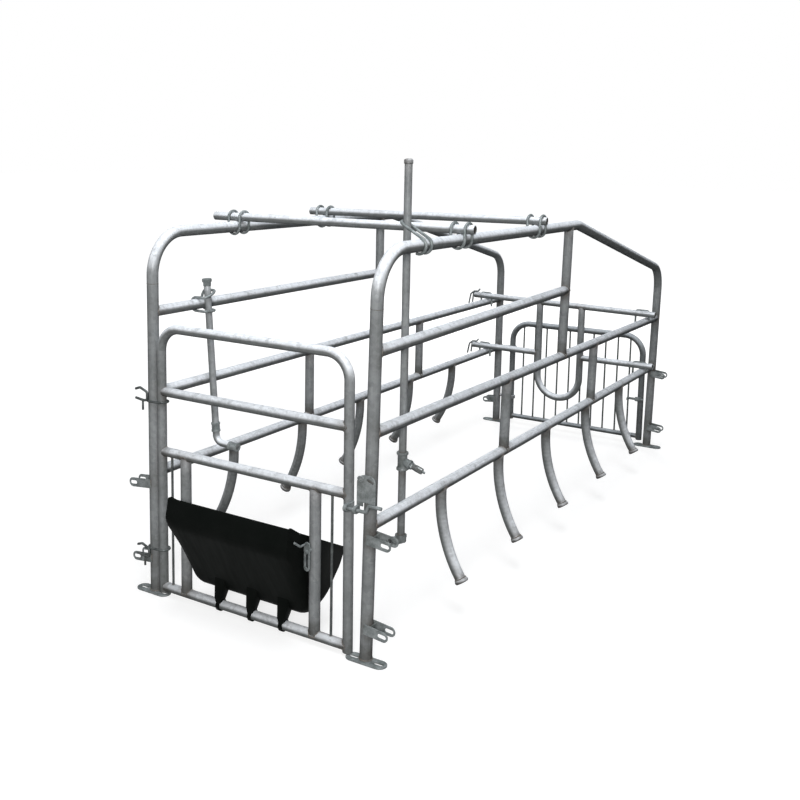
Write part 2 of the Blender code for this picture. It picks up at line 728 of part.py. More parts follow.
def build_gate_grille():
    """The gate's lower part: the bottom rail with two tubes and two thin rods standing on it."""
    name = "front_gate_grille"
    material = galvanised(name)
    reach = GATE_TUBE / 2 + SEAT_GAP
    z = GATE_BOTTOM_RAIL_Z
    ends = [(GATE_LEFT_X + reach, 0, z), (gate_right_x(z) - reach - SEAT_GAP, 0, z)]
    pieces = [tube(name, ends, GATE_TUBE, material, GATE)]
    top = GATE_LOWER_RAIL_Z - reach
    for x in GATE_STRUT_X:
        pieces.append(tube(name + "_strut", [(x, 0, z), (x, 0, top)], RAIL_TUBE, material, GATE))
    for x in GATE_ROD_X:
        pieces.append(tube(name + "_rod", [(x, 0, z), (x, 0, top)], THIN_ROD, material, GATE, sides=8))
    collar_end = HOLDER_Y + HOLDER_PLATE_THICKNESS / 2 + SEAT_GAP
    head_start = HOLDER_Y - HOLDER_PLATE_THICKNESS / 2 - SEAT_GAP
    head_end = head_start - HOLDER_HEAD_THICKNESS
    for start_y, end_y, width in (
        (-RAIL_TUBE / 4, collar_end, HOLDER_PIN_HEAD),
        (collar_end + WELD_BITE, head_start - WELD_BITE, HOLDER_PIN),
        (head_start, head_end, HOLDER_PIN_HEAD),
    ):
        path = [(HOLDER_X, start_y, HOLDER_PIN_Z), (HOLDER_X, end_y, HOLDER_PIN_Z)]
        pieces.append(tube(name + "_pin", path, width, material, GATE, sides=10))
    return combine(name, pieces)


def build_gate_hinge(level, z):
    """A clamp rod round post and gate tube, loose on the gate tube, with a forked pin outside."""
    name = "front_gate_hinge_" + level
    material = zinc_plated(name)
    post_radius = POST_TUBE / 2 + SEAT_GAP + CLAMP_ROD / 2
    gate_radius = GATE_TUBE / 2 + RUNNING_GAP + CLAMP_ROD / 2
    post_x = panel_x("left", z)
    tangent = math.degrees(math.acos((post_radius - gate_radius) / (GATE_LEFT_X - post_x)))
    loop = arc_points((post_x, 0, z), (post_radius, 0, 0), (0, post_radius, 0), tangent, 360 - tangent, 10)
    loop += arc_points((GATE_LEFT_X, 0, z), (gate_radius, 0, 0), (0, gate_radius, 0), -tangent, tangent, 10)
    pieces = [tube(name, loop, CLAMP_ROD, material, STALL, sides=8, closed=True)]
    front_y = -POST_TUBE / 2 - SEAT_GAP - LUG_PLATE - SEAT_GAP - THIN_ROD / 2
    low_z = z + GATE_FORK_LIFT[level] - FORK_DROP
    high_z = low_z + FORK_HEIGHT
    fork_x = post_x - CLAMP_ROD / 2
    fork = [
        (post_x - FORK_REACH, front_y, high_z - FORK_CREST_RISE),
        (post_x - FORK_CREST, front_y, high_z),
        (fork_x, front_y, high_z - FORK_SHOULDER),
        (fork_x, front_y, low_z),
        (post_x - FORK_REACH / 2, front_y, low_z),
        (post_x - FORK_REACH, front_y, low_z + FORK_TIP_RISE),
    ]
    path = bent_path(fork, [FORK_BEND] * 4, 3)
    pieces.append(tube(name + "_fork", path, THIN_ROD, material, STALL, sides=8))
    tail_x = post_x - FORK_REACH / 2 + THIN_ROD / 2
    tail = [(tail_x, front_y, low_z + WELD_BITE), (tail_x, front_y, low_z - FORK_TAIL_LENGTH)]
    pieces.append(tube(name + "_tail", tail, WIRE, material, STALL, sides=8))
    return combine(name, pieces)


def build_latch_plate():
    """A slotted plate on the front of the right post, with an eye below that guides the bolt."""
    name = "front_latch_plate"
    material = zinc_plated(name)
    low = LATCH_PLATE_LOW_Z
    left = LATCH_PLATE_LEFT_X
    right = LATCH_PLATE_RIGHT_X
    high = LATCH_PLATE_HIGH_Z
    eye_right = LATCH_EYE_X + LATCH_EYE_THICKNESS / 2 + LATCH_PLATE_THICKNESS * 2
    eye_low = low - LATCH_EYE_RADIUS
    corners = [(left, eye_low, 0), (left, high, 0), (right, high, 0), (right, low, 0)]
    outline = [corners[0]]
    outline += bent_path(corners, LATCH_PLATE_CORNERS, 4)[1:-1]
    outline += [corners[3], (eye_right, low, 0), (eye_right, eye_low, 0)]
    slot_place = Vector((right - LATCH_SLOT_EDGE, high - LATCH_SLOT_EDGE, 0))
    turn = Matrix.Rotation(LATCH_SLOT_TILT, 3, "Z")
    slot = [slot_place + turn @ point for point in slot_outline(LATCH_SLOT_LENGTH, LATCH_SLOT_WIDTH)]
    y = -POST_TUBE / 2 - SEAT_GAP - LATCH_PLATE_THICKNESS / 2
    rotation = (math.pi / 2, 0, 0)
    plate = flat_plate(name, [outline, slot], LATCH_PLATE_THICKNESS, (0, y, 0), rotation, material, STALL)
    eye_reach = LATCH_STAND_OFF + PLATE_BITE
    eye = latch_eye(name + "_eye", LATCH_EYE_X, LATCH_EYE_THICKNESS, eye_reach, material, STALL)
    return combine(name, [plate, eye])


def build_latch_bolt():
    """A bent rod: its straight end slides through the eye, its handle reaches past the post."""
    name = "front_latch_bolt"
    tip_x = LATCH_LUG_X + LATCH_LUG_THICKNESS / 2 + LATCH_TIP_GAP
    bend_x = LATCH_EYE_X + LATCH_STRAIGHT
    handle_x = bend_x + LATCH_BEND
    handle_y = LATCH_Y - LATCH_HANDLE_SET
    handle_z = LATCH_Z + LATCH_RISE
    corners = [
        (tip_x, LATCH_Y, LATCH_Z),
        (bend_x, LATCH_Y, LATCH_Z),
        (handle_x, handle_y, handle_z),
        (handle_x + LATCH_HANDLE, handle_y, handle_z),
    ]
    path = bent_path(corners, [LATCH_BEND, LATCH_BEND], 4)
    return tube(name, path, LATCH_ROD, zinc_plated(name), LATCH, sides=8)


# Trough

def rim_z(y):
    """Height of the trough's sloping side rim at a depth y."""
    return TROUGH_RIM_Z + TROUGH_RIM_SLOPE * y


def trough_section():
    """Outside of the bowl from the front rim, down the front wall and up to the inner lip."""
    lip = (TROUGH_LIP_Y, rim_z(TROUGH_LIP_Y))
    corners = (TROUGH_FRONT_RIM, TROUGH_BELLY, TROUGH_BOTTOM_FRONT, TROUGH_BOTTOM_REAR, lip)
    return bent_path([(0, *corner) for corner in corners], TROUGH_BENDS, 4)


def build_trough():
    """An open bowl: the section swept along X, its lower end edges rounded, then thickened."""
    name = "trough"
    material = black_plastic(name)
    section = trough_section()
    middle = Vector((0, *TROUGH_MIDDLE))
    stations = []
    for step in range(5):
        angle = math.radians(90 * step / 4)
        stations.append((TROUGH_CORNER * (1 - math.cos(angle)), TROUGH_CORNER * (1 - math.sin(angle))))
    rows = [(TROUGH_LEFT_X + run, inset) for run, inset in stations]
    rows += [(TROUGH_RIGHT_X - run, inset) for run, inset in reversed(stations)]
    shape = bmesh.new()
    grid = []
    for x, inset in rows:
        line = []
        for point in section:
            depth = rim_z(point.y) - point.z
            weight = min(1.0, max(0.0, depth / TROUGH_CORNER_DEPTH))
            inward = (middle - point).normalized()
            line.append(shape.verts.new(Vector((x, point.y, point.z)) + inward * inset * weight))
        grid.append(line)
    for row in range(len(grid) - 1):
        for index in range(len(section) - 1):
            near = grid[row]
            far = grid[row + 1]
            shape.faces.new((near[index], near[index + 1], far[index + 1], far[index]))
    for line in (grid[0], grid[-1]):
        x = line[0].co.x
        rim_points = [shape.verts.new((x, y, rim_z(y))) for y in TROUGH_RIM_CUT_Y]
        rim_points.append(shape.verts.new((x, *TROUGH_RIM_NOTCH)))
        shape.faces.new(line + rim_points)
    bmesh.ops.recalc_face_normals(shape, faces=shape.faces)
    mesh = bpy.data.meshes.new(name)
    shape.to_mesh(mesh)
    shape.free()
    mesh.materials.append(material)
    bowl = attach(bpy.data.objects.new(name, mesh), (0, 0, 0), TROUGH)
    shell = bowl.modifiers.new("wall", "SOLIDIFY")
    shell.thickness = TROUGH_WALL
    shell.offset = -1.0
    shell.use_even_offset = True
    pieces = [bowl]
    ring_inner = GATE_TUBE / 2 + RUNNING_GAP
    ring_outer = ring_inner + TROUGH_CLIP_WALL
    for left in (TROUGH_FIRST_TAB_X, TROUGH_MIDDLE_TAB_X, TROUGH_LAST_TAB_X):
        pieces.append(trough_tab(name + "_tab", left, ring_outer, material))
        pieces.append(trough_clip(name + "_clip", left, ring_inner, ring_outer, material))
    return combine(name, pieces)


def trough_tab(name, left, ring_outer, material):
    """A tongue from the bowl's bottom down to the gate's bottom rail."""
    z = GATE_BOTTOM_RAIL_Z
    outline = [(TROUGH_TAB_TOE_Y, z + TROUGH_TAB_TOE_RISE)]
    for y, bite in zip(TROUGH_TAB_SOLE_Y, TROUGH_TAB_SOLE_BITE):
        outline.append((y, z + ring_outer - bite))
    outline += [TROUGH_TAB_BACK, *TROUGH_TAB_TOP, TROUGH_TAB_FRONT]
    middle = left + TROUGH_TAB_WIDTH / 2
    rotation = (math.pi / 2, 0, math.pi / 2)
    return flat_plate(name, [outline], TROUGH_TAB_WIDTH, (middle, 0, 0), rotation, material, TROUGH)


def trough_clip(name, left, ring_inner, ring_outer, material):
    """A strap round the bottom rail at the tongue's left side, which the trough tips on."""
    outer = disc_outline(ring_outer, 16)
    inner = disc_outline(ring_inner, 16)
    place = (left + TROUGH_CLIP_WIDTH / 2, 0, GATE_BOTTOM_RAIL_Z)
    rotation = (math.pi / 2, 0, math.pi / 2)
    return flat_plate(name, [outer, inner], TROUGH_CLIP_WIDTH, place, rotation, material, TROUGH)


def build_trough_holder():
    """A slotted plate hanging on its headed pin, with a bent wire grip above it."""
    name = "trough_holder"
    material = zinc_plated(name)
    outline = slot_outline(HOLDER_PLATE_LENGTH, HOLDER_PLATE_WIDTH)
    slot = slot_outline(HOLDER_SLOT_LENGTH, HOLDER_SLOT_WIDTH, (HOLDER_SLOT_DROP, 0))
    place = (HOLDER_X, HOLDER_Y, HOLDER_PLATE_Z)
    rotation = (math.pi / 2, math.pi / 2, 0)
    plate = flat_plate(name, [outline, slot], HOLDER_PLATE_THICKNESS, place, rotation, material, HOLDER)
    grip_x = TROUGH_RIGHT_X + HOLDER_GRIP_GAP
    grip = [
        (grip_x, HOLDER_Y - HOLDER_GRIP_REACH, HOLDER_Z + HOLDER_GRIP_RISE),
        (grip_x, HOLDER_Y - HOLDER_GRIP_REACH / 2, HOLDER_Z + HOLDER_GRIP_LIFT),
        (grip_x, HOLDER_Y + WELD_BITE, HOLDER_Z + HOLDER_GRIP_LIFT),
    ]
    path = bent_path(grip, [WIRE], 3)
    return combine(name, [plate, tube(name + "_grip", path, WIRE, material, HOLDER, sides=8)])


# Rear gate

def build_rear_gate():
    name = "rear_gate"
    material = galvanised(name)
    left = REAR_GATE_LEFT_X
    right = REAR_GATE_RIGHT_X
    top = REAR_GATE_TOP_Z
    foot = REAR_GATE_FOOT_Z
    corners = [(left, LENGTH, foot), (left, LENGTH, top), (right, LENGTH, top), (right, LENGTH, foot)]
    path = bent_path(corners, [REAR_GATE_BEND, REAR_GATE_BEND], 5)
    pieces = [tube(name, path, BAR_TUBE, material, REAR_GATE)]
    rail = [(left, LENGTH, REAR_GATE_RAIL_Z), (right, LENGTH, REAR_GATE_RAIL_Z)]
    pieces.append(tube(name + "_rail", rail, WATER_PIPE, material, REAR_GATE))
    step = (right - left) / (REAR_GATE_ROD_COUNT + 1)
    for index in range(REAR_GATE_ROD_COUNT):
        x = left + step * (index + 1)
        past_corner = max(left + REAR_GATE_BEND - x, x - right + REAR_GATE_BEND, 0.0)
        drop = REAR_GATE_BEND - math.sqrt(REAR_GATE_BEND ** 2 - past_corner ** 2)
        rod = [(x, LENGTH, REAR_GATE_RAIL_Z), (x, LENGTH, top - drop - REAR_GATE_ROD_DROP)]
        pieces.append(tube(name + "_rod", rod, THIN_ROD, material, REAR_GATE, sides=6))
    barrel_inner = REAR_LATCH_ROD / 2 + RUNNING_GAP
    barrel_outer = barrel_inner + REAR_BARREL_WALL
    outlines = [disc_outline(barrel_outer, 12), disc_outline(barrel_inner, 12)]
    place = (right - REAR_BARREL_WALL, REAR_LATCH_Y, REAR_LATCH_Z)
    rotation = (math.pi / 2, 0, math.pi / 2)
    barrel = flat_plate(name + "_barrel", outlines, REAR_BARREL_LENGTH, place, rotation, material, REAR_GATE)
    foot_y = REAR_LATCH_Y + barrel_outer - REAR_FOOT_BITE
    foot_low = (right - REAR_FOOT_LEFT, foot_y, REAR_LATCH_Z - REAR_FOOT_HALF_HEIGHT)
    foot_high = (right + REAR_FOOT_RIGHT, LENGTH - REAR_FOOT_DEPTH, REAR_LATCH_Z + REAR_FOOT_HALF_HEIGHT)
    pieces.append(barrel)
    pieces.append(block(name + "_barrel_foot", foot_low, foot_high, material, REAR_GATE))
    return combine(name, pieces)


def build_rear_latch():
    """A round bolt with a knob, sliding across to behind the right rear post."""
    name = "rear_latch_bolt"
    material = zinc_plated(name)
    end = REAR_GATE_RIGHT_X + REAR_LATCH_REACH
    start = end - REAR_LATCH_LENGTH
    ends = [(start, REAR_LATCH_Y, REAR_LATCH_Z), (end, REAR_LATCH_Y, REAR_LATCH_Z)]
    bolt = tube(name, ends, REAR_LATCH_ROD, material, REAR_LATCH, sides=10)
    knob_foot = Vector((start + REAR_KNOB_INSET, REAR_LATCH_Y, REAR_LATCH_Z))
    knob_path = [knob_foot, knob_foot - Vector((0, REAR_KNOB_LENGTH, 0))]
    return combine(name, [bolt, tube(name + "_knob", knob_path, THIN_ROD, material, REAR_LATCH, sides=8)])


def build_rear_hinge(level, z):
    """An eye round the rear gate's left tube, on an arm welded to the rear post."""
    name = "rear_gate_hinge_" + level
    material = galvanised(name)
    inner_radius = BAR_TUBE / 2 + RUNNING_GAP
    outer_radius = inner_radius + REAR_HINGE_WALL
    outlines = [disc_outline(outer_radius, 16), disc_outline(inner_radius, 16)]
    place = (REAR_GATE_LEFT_X, LENGTH, z)
    eye = flat_plate(name, outlines, REAR_HINGE_HEIGHT, place, (0, 0, 0), material, STALL)
    start_x = panel_x("left", z) + POST_TUBE / 2 + SEAT_GAP
    end_x = REAR_GATE_LEFT_X - outer_radius + REAR_HINGE_BITE
    arm_ends = [(start_x, LENGTH, z), (end_x, LENGTH, z)]
    return combine(name, [eye, tube(name + "_arm", arm_ends, REAR_HINGE_ARM, material, STALL, sides=8)])


# Restraint

def restraint_seat(side):
    """Height of the upper bar over a middle rail: clear of the rail's highest point on its way."""
    highest = max(rail_z(MIDDLE_RAIL_Z[side], y) for y in (RESTRAINT_Y - RESTRAINT_TRAVEL, RESTRAINT_Y))
    return highest + RAIL_TUBE / 2 + BAR_TUBE / 2 + SEAT_GAP


def build_restraint():
    """A U of tube hung between two bars that rest across the side rails."""
    name = "rear_restraint"
    material = galvanised(name)
    y = RESTRAINT_Y
    left_end = -HALF_WIDTH - RESTRAINT_LEFT_OVER
    low_left_end = -HALF_WIDTH - RESTRAINT_LOW_LEFT_OVER
    right_end = HALF_WIDTH + RESTRAINT_RIGHT_OVER
    left_seat = restraint_seat("left")
    slope = (restraint_seat("right") - left_seat) / (2 * HALF_WIDTH)

    def on_upper(x):
        return Vector((x, y, left_seat + slope * (x + HALF_WIDTH)))

    low_z = LOW_RAIL_Z + RAIL_TUBE / 2 + BAR_TUBE / 2 + SEAT_GAP
    leg = RESTRAINT_LEG_X
    pieces = [tube(name, [on_upper(left_end), on_upper(right_end)], BAR_TUBE, material, RESTRAINT)]
    hanger = [on_upper(-leg)]
    hanger += arc_points((0, y, RESTRAINT_BOTTOM_Z + leg), (leg, 0, 0), (0, 0, leg), 180, 360, 12)
    hanger.append(on_upper(leg))
    pieces.append(tube(name + "_hanger", hanger, RESTRAINT_TUBE, material, RESTRAINT))
    for way, end in ((-1, low_left_end), (1, right_end)):
        low_bar = [(way * leg, y, low_z), (end, y, low_z)]
        pieces.append(tube(name + "_low_bar", low_bar, BAR_TUBE, material, RESTRAINT))
        guide_x = way * (HALF_WIDTH - RESTRAINT_GUIDE_INSET)
        for top in (on_upper(guide_x), Vector((guide_x, y, low_z))):
            guide = [top, top - Vector((0, 0, RESTRAINT_GUIDE_LENGTH))]
            pieces.append(tube(name + "_guide", guide, CLAMP_ROD, material, RESTRAINT, sides=8))
    return combine(name, pieces)


# Drinkers

def nipple_way():
    return Vector((math.cos(NIPPLE_DROOP), 0, -math.sin(NIPPLE_DROOP)))


def build_right_drinker():
    """A water pipe that slides up and down, with a bored nipple on its tee and an elbow below."""
    name = "right_drinker_pipe"
    material = galvanised(name)
    x, y = RIGHT_DRINKER
    low = RIGHT_DRINKER_LOW_Z
    pieces = [tube(name, [(x, y, low), (x, y, RIGHT_DRINKER_HIGH_Z)], WATER_PIPE, material, DRINKER)]
    half = TEE_HEIGHT / 2
    bead = half - TEE_BEAD
    levels = (-half, -bead, SWELL_RUN - bead, bead - SWELL_RUN, bead, half)
    tee = [(x, y, NIPPLE_Z + level) for level in levels]
    swell = [TEE_BEAD_RATIO] * 2 + [TEE_WAIST_RATIO] * 2 + [TEE_BEAD_RATIO] * 2
    pieces.append(tube(name + "_tee", tee, PIPE_FITTING, material, DRINKER, sides=10, swell=swell))
    way = nipple_way()
    start = Vector((x, y, NIPPLE_Z))
    branch_end = start + way * BRANCH_LENGTH
    pieces.append(tube(name + "_branch", [start, branch_end], BRANCH_TUBE, material, DRINKER, sides=10))
    body_end = start + way * NIPPLE_LENGTH
    body_path = [branch_end - way * NIPPLE_ROOT, body_end]
    pieces.append(tube(name + "_nipple", body_path, NIPPLE_TUBE, material, DRINKER, sides=10))
    knee = Vector((x, y, low))
    elbow_path = [knee + Vector((0, 0, ELBOW_RISE)), knee - Vector((0, 0, ELBOW_DROP))]
    pieces.append(tube(name + "_elbow", elbow_path, PIPE_FITTING, material, DRINKER, sides=10))
    outlet_path = [knee, knee + Vector(OUTLET_WAY) * OUTLET_LENGTH]
    pieces.append(tube(name + "_outlet", outlet_path, BRANCH_TUBE, material, DRINKER, sides=10))
    drinker = combine(name, pieces)
    bore_path = [body_end - way * NIPPLE_BORE_DEPTH, body_end + way * PLATE_BITE]
    bore = tube(name + "_bore", bore_path, VALVE_PIN + 2 * RUNNING_GAP, material, DRINKER, sides=12)
    return combine(name, [drinker, bore], "DIFFERENCE")


def build_valve_pin():
    """The nipple's sprung pin, which a piglet presses into its bore."""
    name = "drinker_valve_pin"
    way = nipple_way()
    body_end = Vector((*RIGHT_DRINKER, NIPPLE_Z)) + way * NIPPLE_LENGTH
    pin_start = body_end - way * (NIPPLE_BORE_DEPTH - VALVE_TRAVEL - VALVE_END_GAP)
    pin_path = [pin_start, body_end + way * VALVE_PIN_OUT]
    return tube(name, pin_path, VALVE_PIN, zinc_plated(name), VALVE, sides=8)


def build_drinker_loop():
    """A rod bent double round the pipe, both ends wrapped under the right top rail."""
    name = "right_drinker_loop"
    x, y = RIGHT_DRINKER
    rail_top = top_rail_z("right", y)
    rail = Vector((panel_x("right", rail_top), y, rail_top))
    wrap = POST_TUBE / 2 + RUNNING_GAP + CLAMP_ROD / 2
    spread = WATER_PIPE / 2 + RUNNING_GAP + CLAMP_ROD / 2
    loop_z = TOP_FRONT_Z + DRINKER_LOOP_RISE
    steps = 8
    strands = []
    for way in (-1, 1):
        place = rail + Vector((0, way * spread, 0))
        strands.append(arc_points(place, (wrap, 0, 0), (0, 0, wrap), *DRINKER_LOOP_WRAP, steps))
    slope = (loop_z - strands[0][-1].z) / (x - strands[0][-1].x)
    bend = []
    for point in arc_points((x, y, loop_z), (-spread, 0, 0), (0, spread, 0), -90, 90, steps):
        bend.append(Vector((point.x, point.y, loop_z + slope * (point.x - x))))
    path = strands[0] + bend + list(reversed(strands[1]))
    return tube(name, path, CLAMP_ROD, zinc_plated(name), STALL, sides=8)


def build_left_drinker():
    """The sow's drinker: a leaning pipe clamped to the left high rail, with a knee and an outlet."""
    name = "left_drinker"
    material = galvanised(name)
    y = LEFT_DRINKER_Y
    reach = RAIL_TUBE / 2 + WATER_PIPE / 2 + SEAT_GAP
    crossing = Vector((-HALF_WIDTH + reach, y, high_rail_z("left", y)))
    knee = Vector((-HALF_WIDTH + LEFT_DRINKER_KNEE_INSET, y, LEFT_DRINKER_KNEE_Z))
    down = (knee - crossing).normalized()
    top = crossing + down * ((crossing.z - LEFT_DRINKER_TOP_Z) / -down.z)
    outlet_z = LEFT_DRINKER_KNEE_Z - LEFT_DRINKER_OUTLET_DROP
    outlet = Vector((-HALF_WIDTH + LEFT_DRINKER_OUTLET_INSET, y, outlet_z))
    path = bent_path([top, knee, outlet], [LEFT_DRINKER_BEND], 5)
    pieces = [tube(name, path, WATER_PIPE, material, STALL)]
    for piece, start, end in (
        ("_cap", top - down * PLATE_BITE, top + down * LEFT_CAP_LENGTH),
        ("_knee", knee - down * LEFT_SLEEVE[0], knee - down * LEFT_SLEEVE[1]),
        ("_valve", outlet - Vector((LEFT_VALVE_LENGTH, 0, 0)), outlet + Vector((PLATE_BITE, 0, 0))),
    ):
        pieces.append(tube(name + piece, [start, end], LEFT_CAP_TUBE, material, STALL, sides=10))
    ways = (Vector((0, 1, 0)), Vector((0, 0, 1)), Vector((1, 0, 0)))
    clamp = clamp_path(crossing, RAIL_TUBE, WATER_PIPE, *ways, bar_gap=-CLAMP_BITE)
    pieces.append(tube(name + "_clamp", clamp, CLAMP_ROD, material, STALL, sides=6, closed=True))
    return combine(name, pieces)


clear_scene()
PARTS = make_collection("pig_stall")
STALL = add_pivot("stall_origin", (0, 0, 0))
GATE = add_pivot("front_gate_pivot", (GATE_LEFT_X, 0, 0), STALL)
LATCH = add_pivot("front_latch_slide", (LATCH_EYE_X, LATCH_Y, LATCH_Z), STALL)
TROUGH = add_pivot("trough_pivot", (0, 0, GATE_BOTTOM_RAIL_Z), GATE)
HOLDER = add_pivot("trough_holder_slide", (HOLDER_X, HOLDER_Y, HOLDER_PIN_Z), GATE)
REAR_GATE = add_pivot("rear_gate_pivot", (REAR_GATE_LEFT_X, LENGTH, 0), STALL)
REAR_LATCH = add_pivot("rear_latch_slide", (REAR_GATE_RIGHT_X, REAR_LATCH_Y, REAR_LATCH_Z), REAR_GATE)
RESTRAINT = add_pivot("restraint_slide", (0, RESTRAINT_Y, LOW_RAIL_Z), STALL)
DRINKER = add_pivot("right_drinker_slide", (*RIGHT_DRINKER, 0), STALL)
VALVE = add_pivot("drinker_valve_slide", (RIGHT_DRINKER[0], RIGHT_DRINKER[1], NIPPLE_Z), DRINKER)

for panel in ("left", "right"):
    build_hoop(panel)
    build_rails(panel)
    build_struts(panel)
    for finger in range(1, FINGER_COUNT + 1):
        build_finger(panel, finger)
    build_foot(panel, "front", 0.0)
    build_foot(panel, "rear", LENGTH)
for lug_name, (panel, lug_y, lug_z, lug_reach) in LUGS.items():
    build_lug(lug_name, panel, lug_y, lug_z, lug_reach)
build_crossbars()
build_gate_hoop()
build_gate_rail("front_gate_upper_rail", GATE_UPPER_RAIL_Z)
build_gate_rail("front_gate_lower_rail", GATE_LOWER_RAIL_Z)
build_gate_grille()
for hinge_level, hinge_z in GATE_HINGE_Z.items():
    build_gate_hinge(hinge_level, hinge_z)
build_latch_plate()
build_latch_bolt()
build_trough()
build_trough_holder()
build_rear_gate()
build_rear_latch()
for hinge_level, hinge_z in REAR_HINGE_Z.items():
    build_rear_hinge(hinge_level, hinge_z)
build_restraint()
build_right_drinker()
build_valve_pin()
build_drinker_loop()
build_left_drinker()
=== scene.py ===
"""Visual model of the pig stall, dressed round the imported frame.

Places are written as in the part's source: from the point on the floor midway between the two
front posts, X across, Y to the rear, Z up. SHIFT moves them into the frame's world.
"""
import json
import math

import bpy
import bmesh
from mathutils import Euler, Matrix, Vector, geometry, kdtree, noise

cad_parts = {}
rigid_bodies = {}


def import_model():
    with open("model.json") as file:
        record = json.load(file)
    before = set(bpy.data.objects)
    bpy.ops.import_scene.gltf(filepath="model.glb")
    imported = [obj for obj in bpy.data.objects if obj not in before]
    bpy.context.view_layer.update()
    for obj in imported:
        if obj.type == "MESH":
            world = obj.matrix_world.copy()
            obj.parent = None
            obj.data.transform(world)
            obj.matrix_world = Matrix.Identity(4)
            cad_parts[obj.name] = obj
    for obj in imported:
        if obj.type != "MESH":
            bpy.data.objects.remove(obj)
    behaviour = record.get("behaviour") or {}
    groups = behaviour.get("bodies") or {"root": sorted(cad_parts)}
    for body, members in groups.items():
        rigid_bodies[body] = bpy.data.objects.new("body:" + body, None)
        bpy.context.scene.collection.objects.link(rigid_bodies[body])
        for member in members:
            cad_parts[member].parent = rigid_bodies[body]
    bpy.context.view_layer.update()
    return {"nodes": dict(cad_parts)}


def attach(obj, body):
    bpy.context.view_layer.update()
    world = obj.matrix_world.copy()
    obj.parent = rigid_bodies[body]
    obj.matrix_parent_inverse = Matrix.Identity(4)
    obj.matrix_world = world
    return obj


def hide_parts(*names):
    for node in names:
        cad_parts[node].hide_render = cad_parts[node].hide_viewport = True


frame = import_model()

SHIFT = Vector((-0.0030, -1.0845, 0.0))
X_WAY, Y_WAY, Z_WAY = (Vector(row) for row in Matrix.Identity(3))

# Turns that stand a flat plate up, its face along Y or along X
FACING_Y = (math.pi / 2, 0, 0)
FACING_X = (math.pi / 2, 0, math.pi / 2)

# Material slots, in the order of make_pieces
TUBE, BEAD, BORE_SHADE, ZINC, PLASTIC, POLISHED, DULL, DARKER_TUBE = range(8)

# Radii of tubes and rods
POST = 0.016
RAIL = 0.015
GATE = 0.013
BAR = 0.0125
PIPE = 0.010
CLAMP = 0.004
ROD = 0.0035
HINGE_ROD = 0.0031
WIRE = 0.003
TUBE_WALL = 0.0025
SEAT_GAP = 0.0003
RUNNING_GAP = 0.0007

# How finely tubes are divided, and their small faults
ROUND_SIDES = 32
ROD_SIDES = 14
TUBE_STEP = 0.045
TUBE_RIPPLE = 0.00012
TUBE_EDGE = 0.0008
PLATE_EDGE = 0.0007

# Welds
PANEL_BEAD = 0.0022
GATE_BEAD = 0.0018
ROD_BEAD = 0.0012
WELD_SIDES = 8
WELD_STEPS = 44
RING_STEPS = 48
BEAD_STEP = 0.0016
RAIL_SINK = 0.5
STRUT_SINK = 0.6

# Side panels
OUTWARD = {"left": -1.0, "right": 1.0}
LEAN = {"left": 0.0, "right": 0.0172}
HALF_WIDTH = 0.350
LENGTH = 2.250
TOP_FRONT_Z = 1.0158
TOP_PEAK_Z = 1.0012
PEAK_Y = 1.277
REAR_CORNER_Z = 0.761
HOOP_BENDS = (0.115, 0.100, 0.100)
POST_JOINT_Z = 0.8785
LOW_RAIL_Z = 0.348
MIDDLE_RAIL_Z = {"left": (0.575, 0.5725), "right": (0.5777, 0.5564)}
HIGH_RAIL_Z = {"left": (0.8014, 0.793), "right": (0.7753, 0.790)}
LONG_STRUT_Y = {"left": 1.187, "right": 1.200}
SHORT_STRUT_Y = {"left": (0.745, 1.500), "right": (0.765, 1.510)}
FIRST_FINGER_Y = {"left": 0.345, "right": 0.365}
FINGER_STEP = {"left": 0.361, "right": 0.366}
FINGER_COUNT = 5
FINGER_BEND = 0.405
FINGER_STRAIGHT = 0.013
FINGER_END_Z = 0.100
FINGER_FLARE = 0.0125
FINGER_LIP = ((0.08, 1.03), (0.22, 1.14), (0.40, 1.24), (0.62, 1.27), (0.85, 1.25), (1.0, 1.19))
FINGER_CREASE = 0.00008

# Feet and lugs
FOOT_LENGTH = 0.114
FOOT_WIDTH = 0.040
FOOT_THICKNESS = 0.005
FOOT_SLOT = (0.028, 0.010)
FOOT_SLOT_OFFSET = 0.0355
FOOT_SHIFT = (0.0045, -0.005)
LUG_PLATE = 0.003
LUG_HEIGHT = 0.026
LUG_SLOT = (0.024, 0.010)
LUG_SLOT_EDGE = 0.017
LUG_WEB_HEIGHT = 0.021
LUG_DROOP = math.radians(6.0)
UPPER_LUG_Z = LOW_RAIL_Z - RAIL - LUG_HEIGHT / 2 - 0.0015
LUGS = {
    "lug_front_right_upper": ("right", 0.0, UPPER_LUG_Z, 0.071),
    "lug_front_right_lower": ("right", 0.0, 0.090, 0.071),
    "lug_front_left_upper": ("left", 0.0, UPPER_LUG_Z, 0.081),
    "lug_front_left_lower": ("left", 0.0, 0.103, 0.071),
    "lug_rear_right_upper": ("right", LENGTH, UPPER_LUG_Z, 0.062),
    "lug_rear_right_lower": ("right", LENGTH, 0.087, 0.062),
    "lug_rear_left_lower": ("left", LENGTH, 0.103, 0.062),
}

# Crossbars
CROSSBARS = {
    "front": {"left_y": 0.370, "right_y": 0.421, "left_end": -0.435, "right_end": 0.406},
    "rear": {"left_y": 0.830, "right_y": 0.926, "left_end": -0.405, "right_end": 0.400},
}
CLAMP_HALF_WIDTH = 0.022
CLAMP_STEPS = 16

